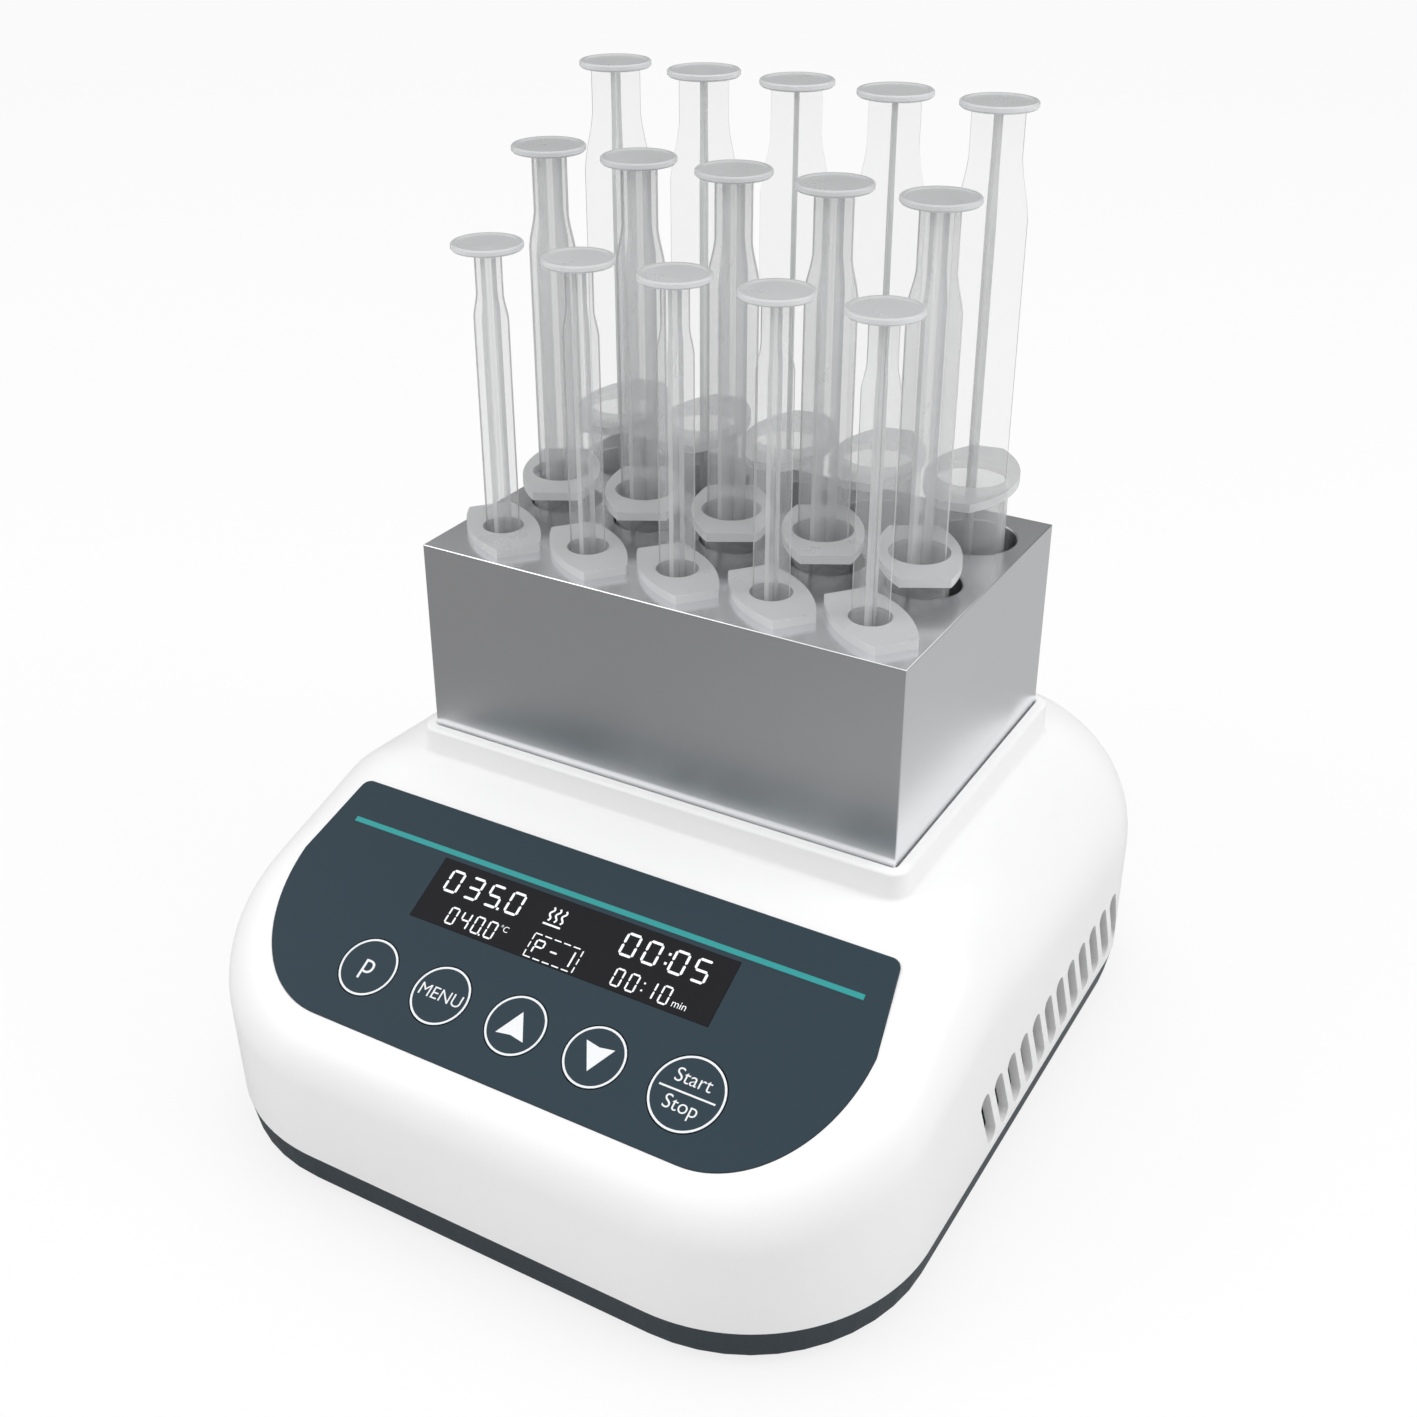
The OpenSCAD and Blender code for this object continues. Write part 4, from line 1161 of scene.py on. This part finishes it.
class HEATER_OT_syringes(bpy.types.Operator):
    """Finish the barrels and plungers of the fifteen syringes"""

    bl_idname = "heater.syringes"
    bl_label = "Syringes"

    # covers of each row's barrel wall, mouth, rod plates and thick parts, and the
    # shade of its rods
    ROWS = {
        "small": (0.22, 0.62, 0.2, 0.92, 1.0),
        "medium": (0.22, 0.62, 0.31, 0.92, 0.93),
        "large": (0.24, 0.2, 0.08, 0.55, 1.0),
    }
    GRAZING, PLATE_EDGE, THUMB_REST = 0.85, 0.7, 0.95  # covers common to all rows
    FLANGE, REST = 2.55 * MM, 2.0 * MM  # how far below a piece's top its thick part begins
    INSIDE = 0.05 * MM  # how much smaller the tube's radius is taken

    def execute(self, context):
        look, pitch = context.scene.heater_colours, context.scene.heater_block.pitch
        for size, (wall, mouth, plate, solid, shade) in self.ROWS.items():
            axis = syringe_axis(size)
            row = {"pitch": pitch, "x": axis.x, "y": axis.y}
            top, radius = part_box(size + "_barrel_3")[1].z, self.tube_radius(size)
            tube = {**row, "solid": top - self.FLANGE, "radius": radius - self.INSIDE}
            walls = (wall, self.GRAZING, mouth)
            clear = natural_plastic(size + "_barrel_clear", look.barrel, tube, walls, solid)
            finish([f"{size}_barrel_{n}" for n in range(1, 6)], clear, 30)
            rod = {**row, "solid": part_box(size + "_plunger_3")[1].z - self.REST}
            frosted = frosted_rod(
                size + "_plunger_frosted", tuple(c * shade for c in look.plunger), rod,
                plate, self.PLATE_EDGE, self.THUMB_REST,
            )
            finish([f"{size}_plunger_{n}" for n in range(1, 6)], frosted, 30)
        return {"FINISHED"}

    @staticmethod
    def tube_radius(size):
        """Radius of a barrel, taken between its tip and its flange."""
        tip, flange = 10 * MM, 2.6 * MM
        low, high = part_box(size + "_barrel_3")
        axis = (low + high) / 2
        return max(
            (v.co - axis).to_2d().length for v in NODES[size + "_barrel_3"].data.vertices
            if low.z + tip < v.co.z < high.z - flange
        )


class HEATER_OT_rear(bpy.types.Operator):
    """Finish the inlet, fuse drawer and rocker, and mark the rocker"""

    bl_idname = "heater.rear"
    bl_label = "Rear connections"

    HALF_HEIGHT, BAR_HALF, RING_INNER = 1.7 * MM, 0.35 * MM, 1.1 * MM  # of the two marks

    def execute(self, context):
        look = context.scene.heater_colours
        black = moulded("inlet_black", look.black, 0.38)
        finish(["power_inlet", "fuse_drawer", "switch_housing"], black, 30)
        finish(["inlet_pins"], machined("pin_nickel", linear(200, 196, 186), 0.22))
        finish(["power_rocker"], moulded("rocker_black", linear(22, 22, 24), 0.3), 30)
        white = printed("rocker_print", look.ink)
        tall, ink = self.HALF_HEIGHT, context.scene.heater_panel.ink
        stick, ring = bar(-self.BAR_HALF, -tall, self.BAR_HALF, tall), circle(0, 0, tall)
        for name, side, loop, hole in (
            ("rocker_on", 1, stick, None), ("rocker_off", -1, ring, circle(0, 0, self.RING_INNER)),
        ):
            mark = prisms(name, [loop], 0, ink, self.face(side), hole)
            new_piece(name, mark, white, "power_rocker")
        return {"FINISHED"}

    @staticmethod
    def face(side):
        """Frame on the rocker's upper face (side 1) or lower face (side -1)."""
        rearward, least = 0.8, 5 * MM * MM  # the faces' slant and area
        low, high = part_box("power_rocker")
        middle = (low + high) / 2
        faces = [
            f for f in NODES["power_rocker"].data.polygons
            if f.normal.y > rearward and f.area > least and side * (f.center.z - middle.z) > 0
        ]
        place = sum((f.center * f.area for f in faces), Vector()) / sum(f.area for f in faces)
        out, right = faces[0].normal, Vector((-1, 0, 0))
        turn = Matrix((right, out.cross(right), out)).transposed()
        return Matrix.Translation(place) @ turn.to_4x4()


# ---------------------------------------------------------------------- stage


class HEATER_OT_stage(bpy.types.Operator):
    """Set up the floor, the sky, the lamps and the camera"""

    bl_idname = "heater.stage"
    bl_label = "Stage"

    LAMPS = {"key": (1.15, 0.25, 0.85), "fill": (-0.9, -0.9, 0.8)}
    LAMP_SIZE, AIM = 0.9, (0, 0, 0.08)
    SENSOR = 36  # width in mm
    FLOOR_RADIUS, FLOOR_THICKNESS = 8, 0.02
    GREY = ((0.80,) * 3, (0.82,) * 3)  # the floor's colour runs between these
    DIRECT = 0.8  # how much of the floor seen directly is plain white
    # the mirrored floor brightens towards the rear right, from the first distance
    # along this direction to the second
    TOWARDS, MIRRORED = (0.87, 0.5), (-0.3, 0.25)
    SKY = (0.44, 0.68)  # heights between which the light from the sides gives way
    CLEAR_WALLS = 32  # sight lines cross many thin walls of clear plastic

    def execute(self, context):
        scene, studio = context.scene, context.scene.heater_studio
        self.camera(scene, studio)
        self.floor(studio)
        self.sky(scene, studio)
        for name, place in self.LAMPS.items():
            self.lamp(name + "_lamp", Vector(place), getattr(studio, name))
        scene.view_settings.view_transform = "Standard"
        scene.cycles.transparent_max_bounces = self.CLEAR_WALLS
        return {"FINISHED"}

    def camera(self, scene, studio):
        data = bpy.data.cameras.new("camera")
        data.lens, data.sensor_width = studio.lens, self.SENSOR
        data.shift_x, data.shift_y = studio.shift_x, studio.shift_y
        data.clip_start, data.clip_end = 0.01, 50
        camera = link("camera", data)
        camera.location = studio.camera_place
        camera.rotation_euler = (math.radians(90) - studio.elevation, 0, studio.azimuth)
        scene.camera = camera

    def floor(self, studio):
        disc = circle(0, 0, self.FLOOR_RADIUS, 96)
        mesh = prisms("floor", [disc], -self.FLOOR_THICKNESS, 0)
        floor = link("floor", mesh)
        material = bpy.data.materials.new("floor_white")
        material.use_nodes = True
        graph = Graph(material.node_tree)
        graph.tree.nodes.clear()
        seen, glossy, clear = (
            graph.add("LightPath", output=f"Is {kind} Ray")
            for kind in ("Camera", "Glossy", "Transmission")
        )
        at = graph.add("TexCoord", output="Object")
        slow = graph.add("TexNoise", {}, {"Vector": at, "Scale": 2.0, "Detail": 2.0})
        plain = graph.add("BsdfDiffuse", {}, {"Color": graph.mix(slow, *self.GREY)})
        lit = graph.blend((seen + clear) * self.DIRECT, plain, graph.white("Emission", 1.0))
        # polished metal mirrors a floor that falls off towards the front left
        along = graph.part(at, "X") * self.TOWARDS[0] + graph.part(at, "Y") * self.TOWARDS[1]
        mirrored = graph.blend(
            graph.spread(along, *self.MIRRORED),
            graph.white("Emission", studio.floor_near), graph.white("Emission", studio.floor_far),
        )
        graph.end("Material", graph.blend(glossy, lit, mirrored))
        mesh.materials.append(material)

    def sky(self, scene, studio):
        scene.world = bpy.data.worlds.new("sky")
        scene.world.use_nodes = True
        graph = Graph(scene.world.node_tree)
        graph.tree.nodes.clear()
        seen = graph.add("LightPath", output="Is Camera Ray")
        up = graph.part(graph.add("TexCoord", output="Generated"), "Z")
        soft = graph.blend(
            graph.spread(up, *self.SKY),
            graph.white("Background", studio.horizon), graph.white("Background", studio.zenith),
        )
        graph.end("World", graph.blend(seen, soft, graph.white("Background", 1.0)))

    def lamp(self, name, place, power):
        data = bpy.data.lights.new(name, "AREA")
        data.shape, data.size, data.energy = "DISK", self.LAMP_SIZE, power
        lamp = link(name, data)
        lamp.location = place
        lamp.rotation_euler = (Vector(self.AIM) - place).to_track_quat("-Z", "Y").to_euler()


class HEATER_PT_panel(bpy.types.Panel):
    """Sidebar panel with a button for each group of pieces"""

    bl_label = "Dry block heater"
    bl_idname = "HEATER_PT_panel"
    bl_space_type = "VIEW_3D"
    bl_region_type = "UI"
    bl_category = "Heater"

    def draw(self, context):
        for step in STEPS:
            self.layout.operator(step.bl_idname)


STEPS = (
    HEATER_OT_stage, HEATER_OT_housing, HEATER_OT_tray, HEATER_OT_overlay, HEATER_OT_display,
    HEATER_OT_keys, HEATER_OT_block, HEATER_OT_syringes, HEATER_OT_rear,
)
GROUPS = {
    "heater_housing": HeaterHousingSizes,
    "heater_vents": HeaterVentSizes,
    "heater_panel": HeaterPanelSizes,
    "heater_block": HeaterBlockSizes,
    "heater_colours": HeaterColours,
    "heater_studio": HeaterStudio,
}


def register():
    for group in GROUPS.values():
        bpy.utils.register_class(group)
    for name, group in GROUPS.items():
        setattr(bpy.types.Scene, name, PointerProperty(type=group))
    for step in (*STEPS, HEATER_PT_panel):
        bpy.utils.register_class(step)


def unregister():
    for step in (HEATER_PT_panel, *reversed(STEPS)):
        bpy.utils.unregister_class(step)
    for name, group in GROUPS.items():
        delattr(bpy.types.Scene, name)
        bpy.utils.unregister_class(group)


def main():
    register()
    for step in STEPS:
        group, call = step.bl_idname.split(".")
        getattr(getattr(bpy.ops, group), call)()


if __name__ == "__main__":
    main()
